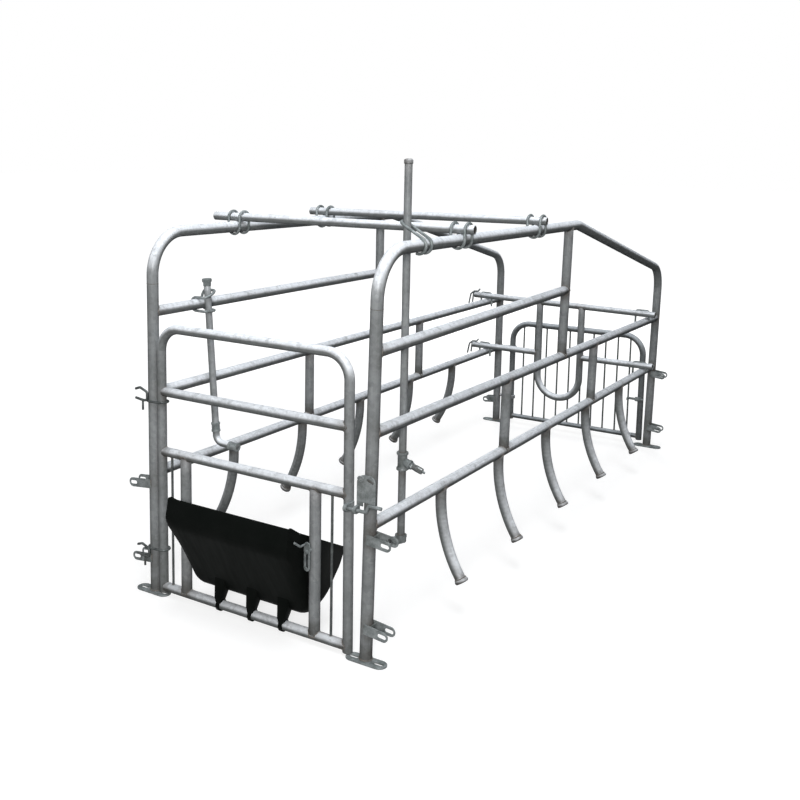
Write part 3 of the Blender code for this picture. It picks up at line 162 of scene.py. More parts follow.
# Front gate, its latch, hinges and trough
GATE_LEFT_X = -0.3205
GATE_RIGHT_TOP_X = 0.2915
GATE_RIGHT_FOOT_X = 0.2965
GATE_FOOT_Z = 0.006
GATE_TOP_Z = 0.761
GATE_BEND = 0.065
GATE_UPPER_RAIL_Z = 0.583
GATE_LOWER_RAIL_Z = 0.414
GATE_BOTTOM_RAIL_Z = 0.0225
GATE_STRUT_X = (-0.235, 0.195)
GATE_ROD_X = (-0.285, 0.246)
GATE_HINGES = {"upper": (0.554, 0.011), "lower": (0.132, -0.016)}
FORK_REACH = 0.047
FORK_HEIGHT = 0.034
FORK_TAIL = 0.028
LATCH_ROD = 0.0045
LATCH_PLATE_X = (0.329, 0.381)
LATCH_PLATE_Z = (0.409, 0.478)
LATCH_PLATE_THICKNESS = 0.004
LATCH_PLATE_BENDS = (0.022, 0.018)
LATCH_SLOT = (0.019, 0.007)
LATCH_SLOT_EDGE = 0.014
LATCH_SLOT_TILT = math.radians(-21)
LATCH_EYE_X = 0.3345
LATCH_EYE_THICKNESS = 0.008
LATCH_EYE_RADIUS = 0.0095
LATCH_STAND_OFF = 0.0122
LATCH_LUG_X = 0.3075
LATCH_LUG_THICKNESS = 0.010
LATCH_Y = -0.0325
LATCH_Z = 0.392
LATCH_HANDLE = (0.036, -0.002, 0.018)
TROUGH_LEFT_X = -0.2185
TROUGH_RIGHT_X = 0.1785
TROUGH_WALL = 0.005
TROUGH_CORNER = 0.042
TROUGH_CORNER_DEPTH = (0.055, 0.20)
TROUGH_RIM = (0.281, -0.5)
TROUGH_SECTION = ((-0.089, 0.326), (-0.104, 0.262), (0.012, 0.048), (0.092, 0.072))
TROUGH_FRONT_Y = -0.1003
TROUGH_LIP_Y = 0.165
TROUGH_RIM_CUT_Y = (0.060, -0.045)
TROUGH_NOTCH = (-0.078, 0.3255)
TROUGH_MIDDLE = (0.030, 0.230)
TROUGH_BENDS = (0.060, 0.045, 0.090)
TROUGH_COLUMNS = 9
TROUGH_DENT = 0.0009
TROUGH_TAB_X = (-0.119, -0.011, 0.091)
TROUGH_TAB_WIDTH = 0.039
TROUGH_CLIP_WIDTH = 0.012
TROUGH_CLIP_WALL = 0.0035
HOLDER_X = 0.1905
HOLDER_Y = -0.028
HOLDER_PLATE = (0.076, 0.018, 0.004)
HOLDER_SLOT = (0.046, 0.006)
HOLDER_SLOT_OFFSET = 0.007
HOLDER_PLATE_Z = 0.239
HOLDER_PIN_Z = 0.2523
HOLDER_GRIP_X = 0.187
HOLDER_GRIP_Z = 0.272

# Rear gate
REAR_LEFT_X = -0.279
REAR_RIGHT_X = 0.315
REAR_TOP_Z = 0.468
REAR_FOOT_Z = 0.022
REAR_RAIL_Z = 0.037
REAR_BEND = 0.080
REAR_ROD_COUNT = 10
REAR_HINGES = {"upper": 0.354, "lower": 0.124}
REAR_HINGE_ARM = 0.006
REAR_HINGE_WALL = 0.0045
REAR_HINGE_HEIGHT = 0.014
REAR_LATCH = (0.311, 2.2275, 0.202)
REAR_BARREL = (0.0097, 0.0057, 0.024)
REAR_BOLT = 0.005
REAR_BOLT_LENGTH = 0.070

# Restraint
RESTRAINT_Y = 2.100
RESTRAINT_LEG_X = 0.0935
RESTRAINT_BOTTOM_Z = 0.190
RESTRAINT_TUBE = 0.014
RESTRAINT_UPPER_Z = (0.60103, 0.59043)
RESTRAINT_LOW_Z = 0.3758
RESTRAINT_UPPER_ENDS = (-0.404, 0.402)
RESTRAINT_LOW_ENDS = (-0.408, 0.402)
RESTRAINT_GUIDE_X = 0.322
CLIP_ROD = CLAMP * 0.85

# Drinkers
RIGHT_DRINKER = (0.325, 0.205)
RIGHT_PIPE_Z = (0.240, 1.227)
NIPPLE_Z = 0.452
NIPPLE_WAY = Vector((math.cos(math.radians(17.5)), 0, -math.sin(math.radians(17.5))))
OUTLET_WAY = Vector((-0.5, -0.87, -0.05))
LEFT_DRINKER_Y = 0.200
LEFT_DRINKER_TOP_Z = 0.872

# Where dirt gathers, each place with the mark's width, and every piece in the order of dressing
WELDS = []
SHAPES = []


# Paths

def arc_points(centre, along, up, start, end, steps):
    """Points on an arc about centre, in the plane of the two vectors, angles in degrees."""
    points = []
    for step in range(steps + 1):
        angle = math.radians(start + (end - start) * step / steps)
        points.append(Vector(centre) + Vector(along) * math.cos(angle) + Vector(up) * math.sin(angle))
    return points


def bent_path(corners, radii, steps=14):
    """A path through the corners, each inner corner rounded to its own bend radius."""
    corners = [Vector(corner) for corner in corners]
    path = [corners[0]]
    for index, radius in enumerate(radii, start=1):
        corner = corners[index]
        back = (corners[index - 1] - corner).normalized()
        ahead = (corners[index + 1] - corner).normalized()
        half_angle = back.angle(ahead) / 2
        centre = corner + (back + ahead).normalized() * (radius / math.sin(half_angle))
        first = corner + back * (radius / math.tan(half_angle)) - centre
        last = corner + ahead * (radius / math.tan(half_angle)) - centre
        axis = first.cross(last).normalized()
        turn = first.angle(last)
        for step in range(steps + 1):
            path.append(centre + Matrix.Rotation(turn * step / steps, 3, axis) @ first)
    path.append(corners[-1])
    return path


def refined(path, step):
    """The same path with no stretch longer than a step."""
    fine = [path[0]]
    for point in path[1:]:
        start = fine[-1]
        count = max(1, math.ceil((point - start).length / step))
        fine += [start.lerp(point, index / count) for index in range(1, count + 1)]
    return fine


def round_ways(side, up, count):
    """Unit vectors all round, in the plane of the two directions."""
    angles = [2 * math.pi * corner / count for corner in range(count)]
    return [side * math.cos(angle) + up * math.sin(angle) for angle in angles]


def tube_frames(path, closed):
    """Two cross directions at each point, carried along without twist, and the tangents."""
    count = len(path)
    tangents = []
    for index in range(count):
        if closed:
            way = path[(index + 1) % count] - path[index - 1]
        else:
            way = path[min(index + 1, count - 1)] - path[max(index - 1, 0)]
        tangents.append(way.normalized())
    axis = Z_WAY if abs(tangents[0].z) < 0.9 else X_WAY
    side = (axis - tangents[0] * axis.dot(tangents[0])).normalized()
    sides = [side]
    for before, tangent in zip(tangents, tangents[1:]):
        side = before.rotation_difference(tangent) @ side
        side = (side - tangent * side.dot(tangent)).normalized()
        sides.append(side)
    if closed:
        last = tangents[-1].rotation_difference(tangents[0]) @ sides[-1]
        twist = math.atan2(tangents[0].dot(sides[0].cross(last)), sides[0].dot(last))
        for index in range(count):
            sides[index] = Matrix.Rotation(-twist * index / count, 3, tangents[index]) @ sides[index]
    return [(side, tangent.cross(side)) for side, tangent in zip(sides, tangents)], tangents


# Shapes

class Shape:
    """The points and faces of one piece, with the place of each corner along and round its tube."""

    def __init__(self, node):
        self.node = node
        self.points = []
        self.faces = []
        self.slots = []
        self.runs = []
        SHAPES.append(self)

    def add(self, points, faces, slots, runs=None):
        base = len(self.points)
        self.points += points
        self.faces += [[base + corner for corner in face] for face in faces]
        self.slots += slots
        self.runs += runs or [[(points[c][0], points[c][1], 0.5) for c in face] for face in faces]


def ring_faces(levels, sides, closed=False, base=0):
    """The four-sided faces between neighbouring rings of points."""
    faces = []
    for index in range(levels if closed else levels - 1):
        near = base + index * sides
        far = base + (index + 1) % levels * sides
        for corner in range(sides):
            following = (corner + 1) % sides
            faces.append((near + corner, near + following, far + following, far + corner))
    return faces


def tube(shape, path, radius, sides=ROUND_SIDES, slot=TUBE, closed=False, radii=None, ends=("flat", "flat"),
         ripple=TUBE_RIPPLE):
    """A round tube along a path. An end is flat, round, or open with a rim and a short closed bore painted
    near-black as painted shade.
    """
    path = [Vector(point) for point in path]
    if radii is None:
        if not closed:
            path = refined(path, TUBE_STEP)
        radii = [radius] * len(path)
    frames, tangents = tube_frames(path, closed)
    tone = abs(math.sin(path[0].x * 91.7 + path[0].y * 47.3 + path[-1].z * 33.1 + path[-1].y * 11.9))
    edge = min(TUBE_EDGE, radius * 0.2)
    rings = []
    along = 0.0
    for index, place in enumerate(path):
        if index:
            along += (place - path[index - 1]).length
        rings.append((place, frames[index], radii[index], along, slot))
    if not closed:
        first = end_rings(rings[0], -tangents[0], ends[0], edge, radius)
        last = end_rings(rings[-1], tangents[-1], ends[1], edge, radius)
        rings[0] = (path[0] + tangents[0] * edge, *rings[0][1:])
        rings[-1] = (path[-1] - tangents[-1] * edge, *rings[-1][1:])
        rings = first[::-1] + rings + last
    points = []
    for ring in rings:
        place, (side, up), width = ring[:3]
        for way in round_ways(side, up, sides):
            point = place + way * width
            if ripple:
                point += way * (noise.noise(point * 38.0) * ripple + noise.noise(point * 9.0) * ripple)
            points.append(point)
    faces = ring_faces(len(rings), sides, closed)
    runs = []
    slots = []
    for index in range(len(faces) // sides):
        ahead = (index + 1) % len(rings)
        near = rings[index][3]
        far = rings[ahead][3] if ahead else near + (path[0] - path[-1]).length
        for corner in range(sides):
            low = 2 * math.pi * radius * corner / sides
            high = 2 * math.pi * radius * (corner + 1) / sides
            runs.append([(near, low, tone), (near, high, tone), (far, high, tone), (far, low, tone)])
            slots.append(max(rings[index][4], rings[ahead][4]))
    if not closed:
        for index in (0, len(rings) - 1):
            faces.append(range(index * sides, (index + 1) * sides))
            runs.append([(rings[index][3], 0.0, tone)] * sides)
            slots.append(rings[index][4])
    shape.add(points, faces, slots, runs)


def end_rings(ring, outward_way, kind, edge, radius):
    """The rings that close a tube's end: a chamfer, and for an open end its rim and bore."""
    place, cross, width, run, slot = ring
    levels = [(-0.3 * edge, width - edge * 0.3, slot), (0.0, width - edge, slot)]
    if kind == "open":
        bore = width - TUBE_WALL
        deep = radius - TUBE_WALL - 0.0006
        levels += [
            (0.0, bore + edge * 0.5, slot),
            (-0.5 * edge, bore, slot),
            # The bore is closed after a short depth and painted near-black: painted shade for the dark
            # inside.
            (-0.5 * radius, deep, BORE_SHADE),
            (-1.6 * radius, deep, BORE_SHADE),
            (-1.6 * radius - 0.0005, deep - 0.001, BORE_SHADE),
        ]
    elif kind == "round":
        levels += [(0.9 * edge, width * 0.80, slot), (1.4 * edge, width * 0.45, slot)]
    return [(place + outward_way * out, cross, size, run, paint) for out, size, paint in levels]


def rod(shape, path, radius=CLAMP, slot=ZINC, closed=False):
    """A smooth plated rod."""
    tube(shape, path, radius, sides=ROD_SIDES, slot=slot, closed=closed, ripple=0.0)


def turned(shape, start, way, profile, sides=24, slot=ZINC, spin=0.0):
    """A turned piece: rings of the profile's distances and radii along a straight way."""
    way = way.normalized()
    side = Matrix.Rotation(spin, 3, way) @ way.orthogonal().normalized()
    points = []
    for distance, radius in profile:
        points += [start + way * distance + round_way * radius
                   for round_way in round_ways(side, way.cross(side), sides)]
    faces = ring_faces(len(profile), sides)
    faces.append(range(sides))
    faces.append(range(len(points) - sides, len(points)))
    shape.add(points, faces, [slot] * len(faces))


def inset_outline(outline, distance):
    """The outline moved to its left side by a distance, corner by corner."""
    moved = []
    for index, here in enumerate(outline):
        before = here - outline[index - 1]
        after = outline[(index + 1) % len(outline)] - here
        left = Vector((-before.y, before.x)).normalized()
        middle = (left + Vector((-after.y, after.x)).normalized()).normalized()
        moved.append(here + middle * (distance / max(0.5, middle.dot(left))))
    return moved


def turns_left(outline):
    pairs = zip(outline[-1:] + outline, outline)
    return sum(before.x * here.y - here.x * before.y for before, here in pairs) > 0


def plate(shape, outlines, thickness, place, rotation=(0, 0, 0), slot=ZINC, edge=PLATE_EDGE):
    """A plate with broken edges from an outer outline and its holes."""
    turn = Matrix.Translation(Vector(place)) @ Euler(rotation).to_matrix().to_4x4()
    half = thickness / 2
    inner_loops = []
    points = []
    faces = []
    for outline in outlines:
        loop = [Vector(point[:2]) for point in outline]
        if not turns_left(loop):
            loop.reverse()
        inner = inset_outline(loop, -edge if inner_loops else edge)
        inner_loops.append(inner)
        faces += ring_faces(4, len(loop), base=len(points))
        for flat, height in ((inner, half), (loop, half - edge), (loop, edge - half), (inner, -half)):
            points += [Vector((point.x, point.y, height)) for point in flat]
    triangles = geometry.tessellate_polygon([[point.to_3d() for point in loop] for loop in inner_loops])
    for level in (0, 3):
        lookup = []
        base = 0
        for loop in inner_loops:
            lookup += range(base + level * len(loop), base + (level + 1) * len(loop))
            base += 4 * len(loop)
        faces += [[lookup[corner] for corner in triangle] for triangle in triangles]
    shape.add([turn @ point for point in points], faces, [slot] * len(faces))


def slot_outline(length, width, centre=0.0, steps=9):
    """An oblong with half-round ends, lying along X."""
    reach = (length - width) / 2
    along = (width / 2, 0, 0)
    up = (0, width / 2, 0)
    right = arc_points((centre + reach, 0, 0), along, up, -90, 90, steps)
    return right + arc_points((centre - reach, 0, 0), along, up, 90, 270, steps)


def disc_outline(radius, points=32):
    return arc_points((0, 0, 0), (radius, 0, 0), (0, radius, 0), 0, 360 - 360 / points, points - 1)


def box_outline(half_width, half_height):
    return [(half_width * x, half_height * y) for x, y in ((-1, -1), (1, -1), (1, 1), (-1, 1))]


def weld(shape, joint, branch_way, host_way, branch_radius, host_radius, bead_size=PANEL_BEAD,
         flush_way=None):
    """A rippled bead where a branch tube meets the host's wall, ground flush on one side if asked."""
    host_way = host_way.normalized()
    along = (host_way - branch_way * host_way.dot(branch_way)).normalized()
    lean = branch_way - host_way * branch_way.dot(host_way)
    path = []
    radii = []
    for step, outside in enumerate(round_ways(along, branch_way.cross(along), WELD_STEPS)):
        size = bead_size
        if flush_way:
            size *= 1.0 - 0.94 * max(0.0, outside.dot(flush_way)) ** 0.6
        offset = outside * (branch_radius + size * 0.15)
        flat = offset - host_way * offset.dot(host_way)
        square = lean.length_squared
        linear = lean.dot(flat)
        rest = flat.length_squared - host_radius ** 2
        reach = (-linear + math.sqrt(max(0.0, linear * linear - square * rest))) / square
        place = joint + offset + branch_way * (reach + size * 0.1)
        wander = noise.noise(place * 160.0)
        path.append(place + outside * wander * size * 0.18)
        radii.append(size * (0.86 + 0.12 * math.sin(step * math.pi / 2) + 0.3 * wander))
    tube(shape, path, bead_size, sides=WELD_SIDES, slot=BEAD, closed=True, radii=radii, ripple=0.0)
    WELDS.append((joint + branch_way * host_radius, branch_radius * 1.25))


def ring_weld(shape, place, way, radius, bead_size, mark=True):
    """A bead right round a tube, as at a butt joint or where a post stands on its foot."""
    side = way.orthogonal().normalized()
    path = []
    radii = []
    for step, outside in enumerate(round_ways(side, way.cross(side), RING_STEPS)):
        point = place + outside * radius
        wander = noise.noise(point * 170.0)
        path.append(point + way * wander * bead_size * 0.4)
        radii.append(bead_size * (0.9 + 0.1 * math.sin(step * math.pi / 2) + 0.25 * wander))
    tube(shape, path, bead_size, sides=WELD_SIDES, slot=BEAD, closed=True, radii=radii, ripple=0.0)
    if mark:
        WELDS.append((place, radius * 1.2))


def bead(shape, middle, reach, radius):
    """A short straight weld run each way from its middle, lumpy and rounded off at its ends."""
    path = refined([middle - reach, middle + reach], BEAD_STEP)
    radii = []
    for index, point in enumerate(path):
        share = index / (len(path) - 1)
        swell = math.sqrt(max(0.03, 1 - (2 * share - 1) ** 6))
        lump = 0.9 + 0.14 * math.sin(index * 1.9) + 0.25 * noise.noise(point * 170.0)
        radii.append(radius * swell * lump)
    tube(shape, path, radius, sides=WELD_SIDES, slot=BEAD, radii=radii, ripple=0.0)


def member(shape, start, end, radius, hosts, sinks, bead_size=PANEL_BEAD, flush_way=None, **looks):
    """A tube welded between two hosts, each a direction and a radius. Its ends sink into them."""
    way = (end - start).normalized()
    tube(shape, [start + way * sinks[0], end - way * sinks[1]], radius, **looks)
    weld(shape, start, way, hosts[0][0], radius, hosts[0][1], bead_size, flush_way)
    weld(shape, end, -way, hosts[1][0], radius, hosts[1][1], bead_size)


# Side panels

def panel_x(side, z):
    return OUTWARD[side] * (HALF_WIDTH + LEAN[side] * z)


def on_panel(side, y, z):
    return Vector((panel_x(side, z), y, z))


def line_z(ends, y, length):
    """The height at y of a line whose two ends, a length apart, have the given heights."""
    return ends[0] + (ends[1] - ends[0]) * y / length


def top_rail_z(y):
    return line_z((TOP_FRONT_Z, TOP_PEAK_Z), y, PEAK_Y)


def dress_hoop(side, up):
    shape = Shape(side + "_hoop")
    foot_z = FOOT_THICKNESS + SEAT_GAP
    corners = ((0.0, foot_z), (0.0, TOP_FRONT_Z), (PEAK_Y, TOP_PEAK_Z), (LENGTH, REAR_CORNER_Z),
               (LENGTH, foot_z))
    tube(shape, bent_path([on_panel(side, *corner) for corner in corners], HOOP_BENDS, 20), POST)
    ring_weld(shape, on_panel(side, 0.0, POST_JOINT_Z), up, POST - 0.0004, 0.0011, mark=False)
    for y in (0.0, LENGTH):
        ring_weld(shape, on_panel(side, y, foot_z + 0.001), Z_WAY, POST + 0.0002, 0.0021)


def panel_member(name, side, start, end, hosts, sink):
    """A rail or strut from one Y and Z to another, sunk into its hosts by a share of their radii."""
    sinks = [sink * radius for way, radius in hosts]
    member(Shape(side + name), on_panel(side, *start), on_panel(side, *end), RAIL, hosts, sinks)


def dress_panel(side):
    up = (on_panel(side, 0.0, 1.0) - on_panel(side, 0.0, 0.0)).normalized()
    dress_hoop(side, up)
    middle = MIDDLE_RAIL_Z[side]
    high = HIGH_RAIL_Z[side]
    strut_y = LONG_STRUT_Y[side]
    post = (up, POST)
    panel_member("_low_rail", side, (0.0, LOW_RAIL_Z), (LENGTH, LOW_RAIL_Z), (post, post), RAIL_SINK)
    if side == "right":
        WELDS.append((on_panel(side, 0.0, LOW_RAIL_Z) + Vector((0.012, 0.010, -0.008)), 0.026))
    panel_member("_middle_rail", side, (0.0, middle[0]), (LENGTH, middle[1]), (post, post), RAIL_SINK)
    panel_member("_high_rail", side, (0.0, high[0]), (strut_y, high[1]), (post, (up, RAIL)), RAIL_SINK)
    low_rail = (Y_WAY, RAIL)
    middle_rail = (on_panel(side, LENGTH, middle[1]) - on_panel(side, 0.0, middle[0]), RAIL)
    top_rail = (on_panel(side, PEAK_Y, TOP_PEAK_Z) - on_panel(side, 0.0, TOP_FRONT_Z), POST)
    low_end = (strut_y, line_z(middle, strut_y, LENGTH))
    high_end = (strut_y, top_rail_z(strut_y))
    panel_member("_long_strut", side, low_end, high_end, (middle_rail, top_rail), STRUT_SINK)
    for index, y in enumerate(SHORT_STRUT_Y[side], start=1):
        panel_member("_short_strut_" + str(index), side, (y, LOW_RAIL_Z), (y, line_z(middle, y, LENGTH)),
                     (low_rail, middle_rail), STRUT_SINK)
    for number in range(1, FINGER_COUNT + 1):
        dress_finger(side, number)
    dress_foot(side, "front", 0.0)
    dress_foot(side, "rear", LENGTH)


def dress_finger(side, number):
    """A piglet guard bent outwards, a little creased on the inside of its bend, with a rolled end."""
    shape = Shape(side + "_finger_" + str(number))
    way = OUTWARD[side]
    joint = on_panel(side, FIRST_FINGER_Y[side] + FINGER_STEP[side] * (number - 1), LOW_RAIL_Z)
    top = joint - Z_WAY * (RAIL + SEAT_GAP)
    straight_z = top.z - FINGER_STRAIGHT
    centre = (top.x + way * FINGER_BEND, top.y, straight_z)
    turn = math.degrees(math.asin((straight_z - FINGER_END_Z) / FINGER_BEND))
    sweep = arc_points(centre, (-way * FINGER_BEND, 0, 0), (0, 0, -FINGER_BEND), 0, turn, 64)
    direction = (sweep[-1] - sweep[-2]).normalized()
    path = [top + Z_WAY * RAIL * 0.5, top] + sweep
    radii = [RAIL] * 2
    for index in range(len(sweep)):
        radii.append(RAIL + FINGER_CREASE * math.sin(index * 1.7) * math.sin(math.pi * index / len(sweep)))
    for share, ratio in FINGER_LIP:
        path.append(sweep[-1] + direction * FINGER_FLARE * share)
        radii.append(RAIL * ratio)
    tube(shape, path, RAIL, radii=radii, ends=("flat", "open"))
    WELDS.append((path[-1], 0.024))
    lip = sweep[-1] + direction * FINGER_FLARE * 0.10
    ring_weld(shape, lip, direction, RAIL + 0.0004, 0.0021, mark=False)
    weld(shape, joint, -Z_WAY, Y_WAY, RAIL, RAIL)


def dress_foot(side, end, y):
    outline = slot_outline(FOOT_LENGTH, FOOT_WIDTH, steps=16)
    slots = [slot_outline(*FOOT_SLOT, way * FOOT_SLOT_OFFSET) for way in (-1, 1)]
    x = panel_x(side, 0.0) + FOOT_SHIFT[0] * OUTWARD[side]
    place = (x, y + FOOT_SHIFT[1], FOOT_THICKNESS / 2)
    plate(Shape("foot_" + end + "_" + side), [outline] + slots, FOOT_THICKNESS, place)


def dress_lug(name, side, y, z, reach):
    """Two slotted ears and a web, with short weld runs where they meet the post."""
    shape = Shape(name)
    way = OUTWARD[side]
    ear_y = POST + SEAT_GAP + LUG_PLATE / 2
    post = on_panel(side, y, z)
    radius = LUG_HEIGHT / 2
    outline = [Vector((0.001, radius, 0)), Vector((0.001, -radius, 0))]
    outline += arc_points((reach - radius, 0, 0), (radius, 0, 0), (0, radius, 0), -90, 90, 14)
    slot = slot_outline(*LUG_SLOT, reach - LUG_SLOT_EDGE)
    ear = [[(point.x * way, point.y) for point in loop] for loop in (outline, slot)]
    for face in (-1, 1):
        plate(shape, ear, LUG_PLATE, post + Y_WAY * face * ear_y, (math.pi / 2, LUG_DROOP * way, 0))
        seam = post + Vector((way * 0.001, face * (POST + 0.0006), 0))
        bead(shape, seam, Z_WAY * radius * 0.9, 0.0018)
    web = post + Vector((way * (POST + SEAT_GAP * 3 + LUG_PLATE / 2), 0, -0.0015))
    plate(shape, [box_outline(ear_y, LUG_WEB_HEIGHT / 2)], LUG_PLATE, web, FACING_X)
    WELDS.append((post + X_WAY * way * POST, 0.020))


# Crossbars and clamps

def clamp_path(crossing, rail, bar, rail_way, bar_way, outward_way, bar_gap=RUNNING_GAP):
    """One rod woven twice behind the rail and twice over the bar that crosses it, closed on itself."""
    middle = crossing - outward_way * (rail + bar + SEAT_GAP)
    across = rail + CLAMP + RUNNING_GAP
    over = outward_way * (bar + CLAMP + bar_gap)
    half = rail_way * CLAMP_HALF_WIDTH
    path = []
    for way in (-1, 1):
        side = bar_way * way * across
        path += arc_points(middle + half * way, side, -outward_way * across, 180, 0, CLAMP_STEPS)[:-1]
        path += arc_points(crossing + side, -half * way, over, 180, 0, CLAMP_STEPS)[:-1]
    return path


def dress_crossbars():
    lift = POST + BAR + SEAT_GAP
    for end, bar in CROSSBARS.items():
        left = Vector((-HALF_WIDTH, bar["left_y"], top_rail_z(bar["left_y"]) + lift))
        right = Vector((panel_x("right", TOP_FRONT_Z), bar["right_y"], top_rail_z(bar["right_y"]) + lift))
        direction = (right - left) / (right.x - left.x)
        path = [left + direction * (bar[name] - left.x) for name in ("left_end", "right_end")]
        tube(Shape("crossbar_" + end), path, BAR, ends=("open", "open"))
        for side, crossing in (("left", left), ("right", right)):
            clamp = Shape("cross_clamp_" + end + "_" + side)
            rod(clamp, clamp_path(crossing, POST, BAR, Y_WAY, X_WAY, Z_WAY), closed=True)


# Front gate

def gate_right_x(z):
    return GATE_RIGHT_FOOT_X + (GATE_RIGHT_TOP_X - GATE_RIGHT_FOOT_X) * z / GATE_TOP_Z


def dress_gate_rail(shape, z):
    start = Vector((GATE_LEFT_X, 0, z))
    end = Vector((gate_right_x(z), 0, z))
    hosts = [(Z_WAY, GATE)] * 2
    member(shape, start, end, GATE, hosts, [GATE * RAIL_SINK] * 2, GATE_BEAD, flush_way=-Y_WAY)


def dress_gate():
    hoop = Shape("front_gate_hoop")
    corners = [
        (GATE_LEFT_X, 0, GATE_FOOT_Z),
        (GATE_LEFT_X, 0, GATE_TOP_Z),
        (GATE_RIGHT_TOP_X, 0, GATE_TOP_Z),
        (gate_right_x(GATE_FOOT_Z), 0, GATE_FOOT_Z),
    ]
    tube(hoop, bent_path(corners, [GATE_BEND] * 2, 20), GATE, ends=("open", "open"))
    latch_eye(hoop, LATCH_LUG_X, LATCH_LUG_THICKNESS, 0.030)
    seam = Vector((LATCH_LUG_X - LATCH_LUG_THICKNESS / 2, -0.0125, LATCH_Z))
    bead(hoop, seam, Z_WAY * 0.009, 0.0020)
    dress_gate_rail(Shape("front_gate_upper_rail"), GATE_UPPER_RAIL_Z)
    dress_gate_rail(Shape("front_gate_lower_rail"), GATE_LOWER_RAIL_Z)
    grille = Shape("front_gate_grille")
    dress_gate_rail(grille, GATE_BOTTOM_RAIL_Z)
    hosts = [(X_WAY, GATE)] * 2
    for x in GATE_STRUT_X:
        ends = [Vector((x, 0, z)) for z in (GATE_BOTTOM_RAIL_Z, GATE_LOWER_RAIL_Z)]
        member(grille, *ends, RAIL, hosts, (0.004, 0.006), GATE_BEAD)
    for x in GATE_ROD_X:
        ends = [Vector((x, 0, z)) for z in (GATE_BOTTOM_RAIL_Z, GATE_LOWER_RAIL_Z)]
        member(grille, *ends, ROD, hosts, (0.0, 0.006), ROD_BEAD, sides=ROD_SIDES, slot=DULL)
    dress_holder_pin(grille)
    for level, (z, lift) in GATE_HINGES.items():
        dress_gate_hinge(level, z, lift)


def dress_holder_pin(shape):
    """The headed pin that the trough's catch plate hangs on."""
    collar = -HOLDER_Y - HOLDER_PLATE[2] / 2 - SEAT_GAP
    head = -HOLDER_Y + HOLDER_PLATE[2] / 2 + SEAT_GAP
    profile = [(0.008, 0.0058), (collar - 0.0006, 0.0060), (collar, 0.0054), (collar, 0.0024),
               (head, 0.0024), (head, 0.0056), (head + 0.0004, 0.0060), (head + 0.0020, 0.0060),
               (head + 0.0029, 0.0052), (head + 0.0034, 0.0036), (head + 0.0035, 0.0014)]
    turned(shape, Vector((HOLDER_X, 0, HOLDER_PIN_Z)), -Y_WAY, profile)


def latch_eye(shape, x, thickness, reach):
    """A plate standing across the latch bolt, with a hole for it."""
    radius = LATCH_EYE_RADIUS
    outline = arc_points((0, 0, 0), (radius, 0, 0), (0, radius, 0), 90, 270, 16)
    outline += [(reach, -radius), (reach, radius)]
    hole = disc_outline(LATCH_ROD + RUNNING_GAP, 24)
    plate(shape, [outline, hole], thickness, (x, LATCH_Y, LATCH_Z), FACING_X)


def dress_gate_hinge(level, z, lift):
    """A clamp rod round post and gate tube, with a forked pin outside."""
    shape = Shape("front_gate_hinge_" + level)
    post_radius = POST + SEAT_GAP + HINGE_ROD
    gate_radius = GATE + RUNNING_GAP + HINGE_ROD
    post_x = -HALF_WIDTH
    tangent = math.degrees(math.acos((post_radius - gate_radius) / (GATE_LEFT_X - post_x)))
    loop = arc_points((post_x, 0, z), (post_radius, 0, 0), (0, post_radius, 0), tangent, 360 - tangent, 24)
    loop += arc_points((GATE_LEFT_X, 0, z), (gate_radius, 0, 0), (0, gate_radius, 0), -tangent, tangent, 24)
    rod(shape, loop, HINGE_ROD, DULL, closed=True)
    y = -POST - SEAT_GAP - LUG_PLATE - SEAT_GAP - ROD
    low_z = z + lift - 0.009
    high_z = low_z + FORK_HEIGHT
    fork_x = post_x - CLAMP
    fork = [
        (post_x - FORK_REACH, y, high_z - 0.006),
        (post_x - 0.030, y, high_z),
        (fork_x, y, high_z - 0.010),
        (fork_x, y, low_z),
        (post_x - FORK_REACH / 2, y, low_z),
        (post_x - FORK_REACH, y, low_z + 0.003),
    ]
    rod(shape, bent_path(fork, [0.008] * 4, 7), ROD, DULL)
    tail_x = post_x - FORK_REACH / 2 + ROD
    rod(shape, [(tail_x, y, low_z + 0.001), (tail_x, y, low_z - FORK_TAIL)], WIRE, DULL)


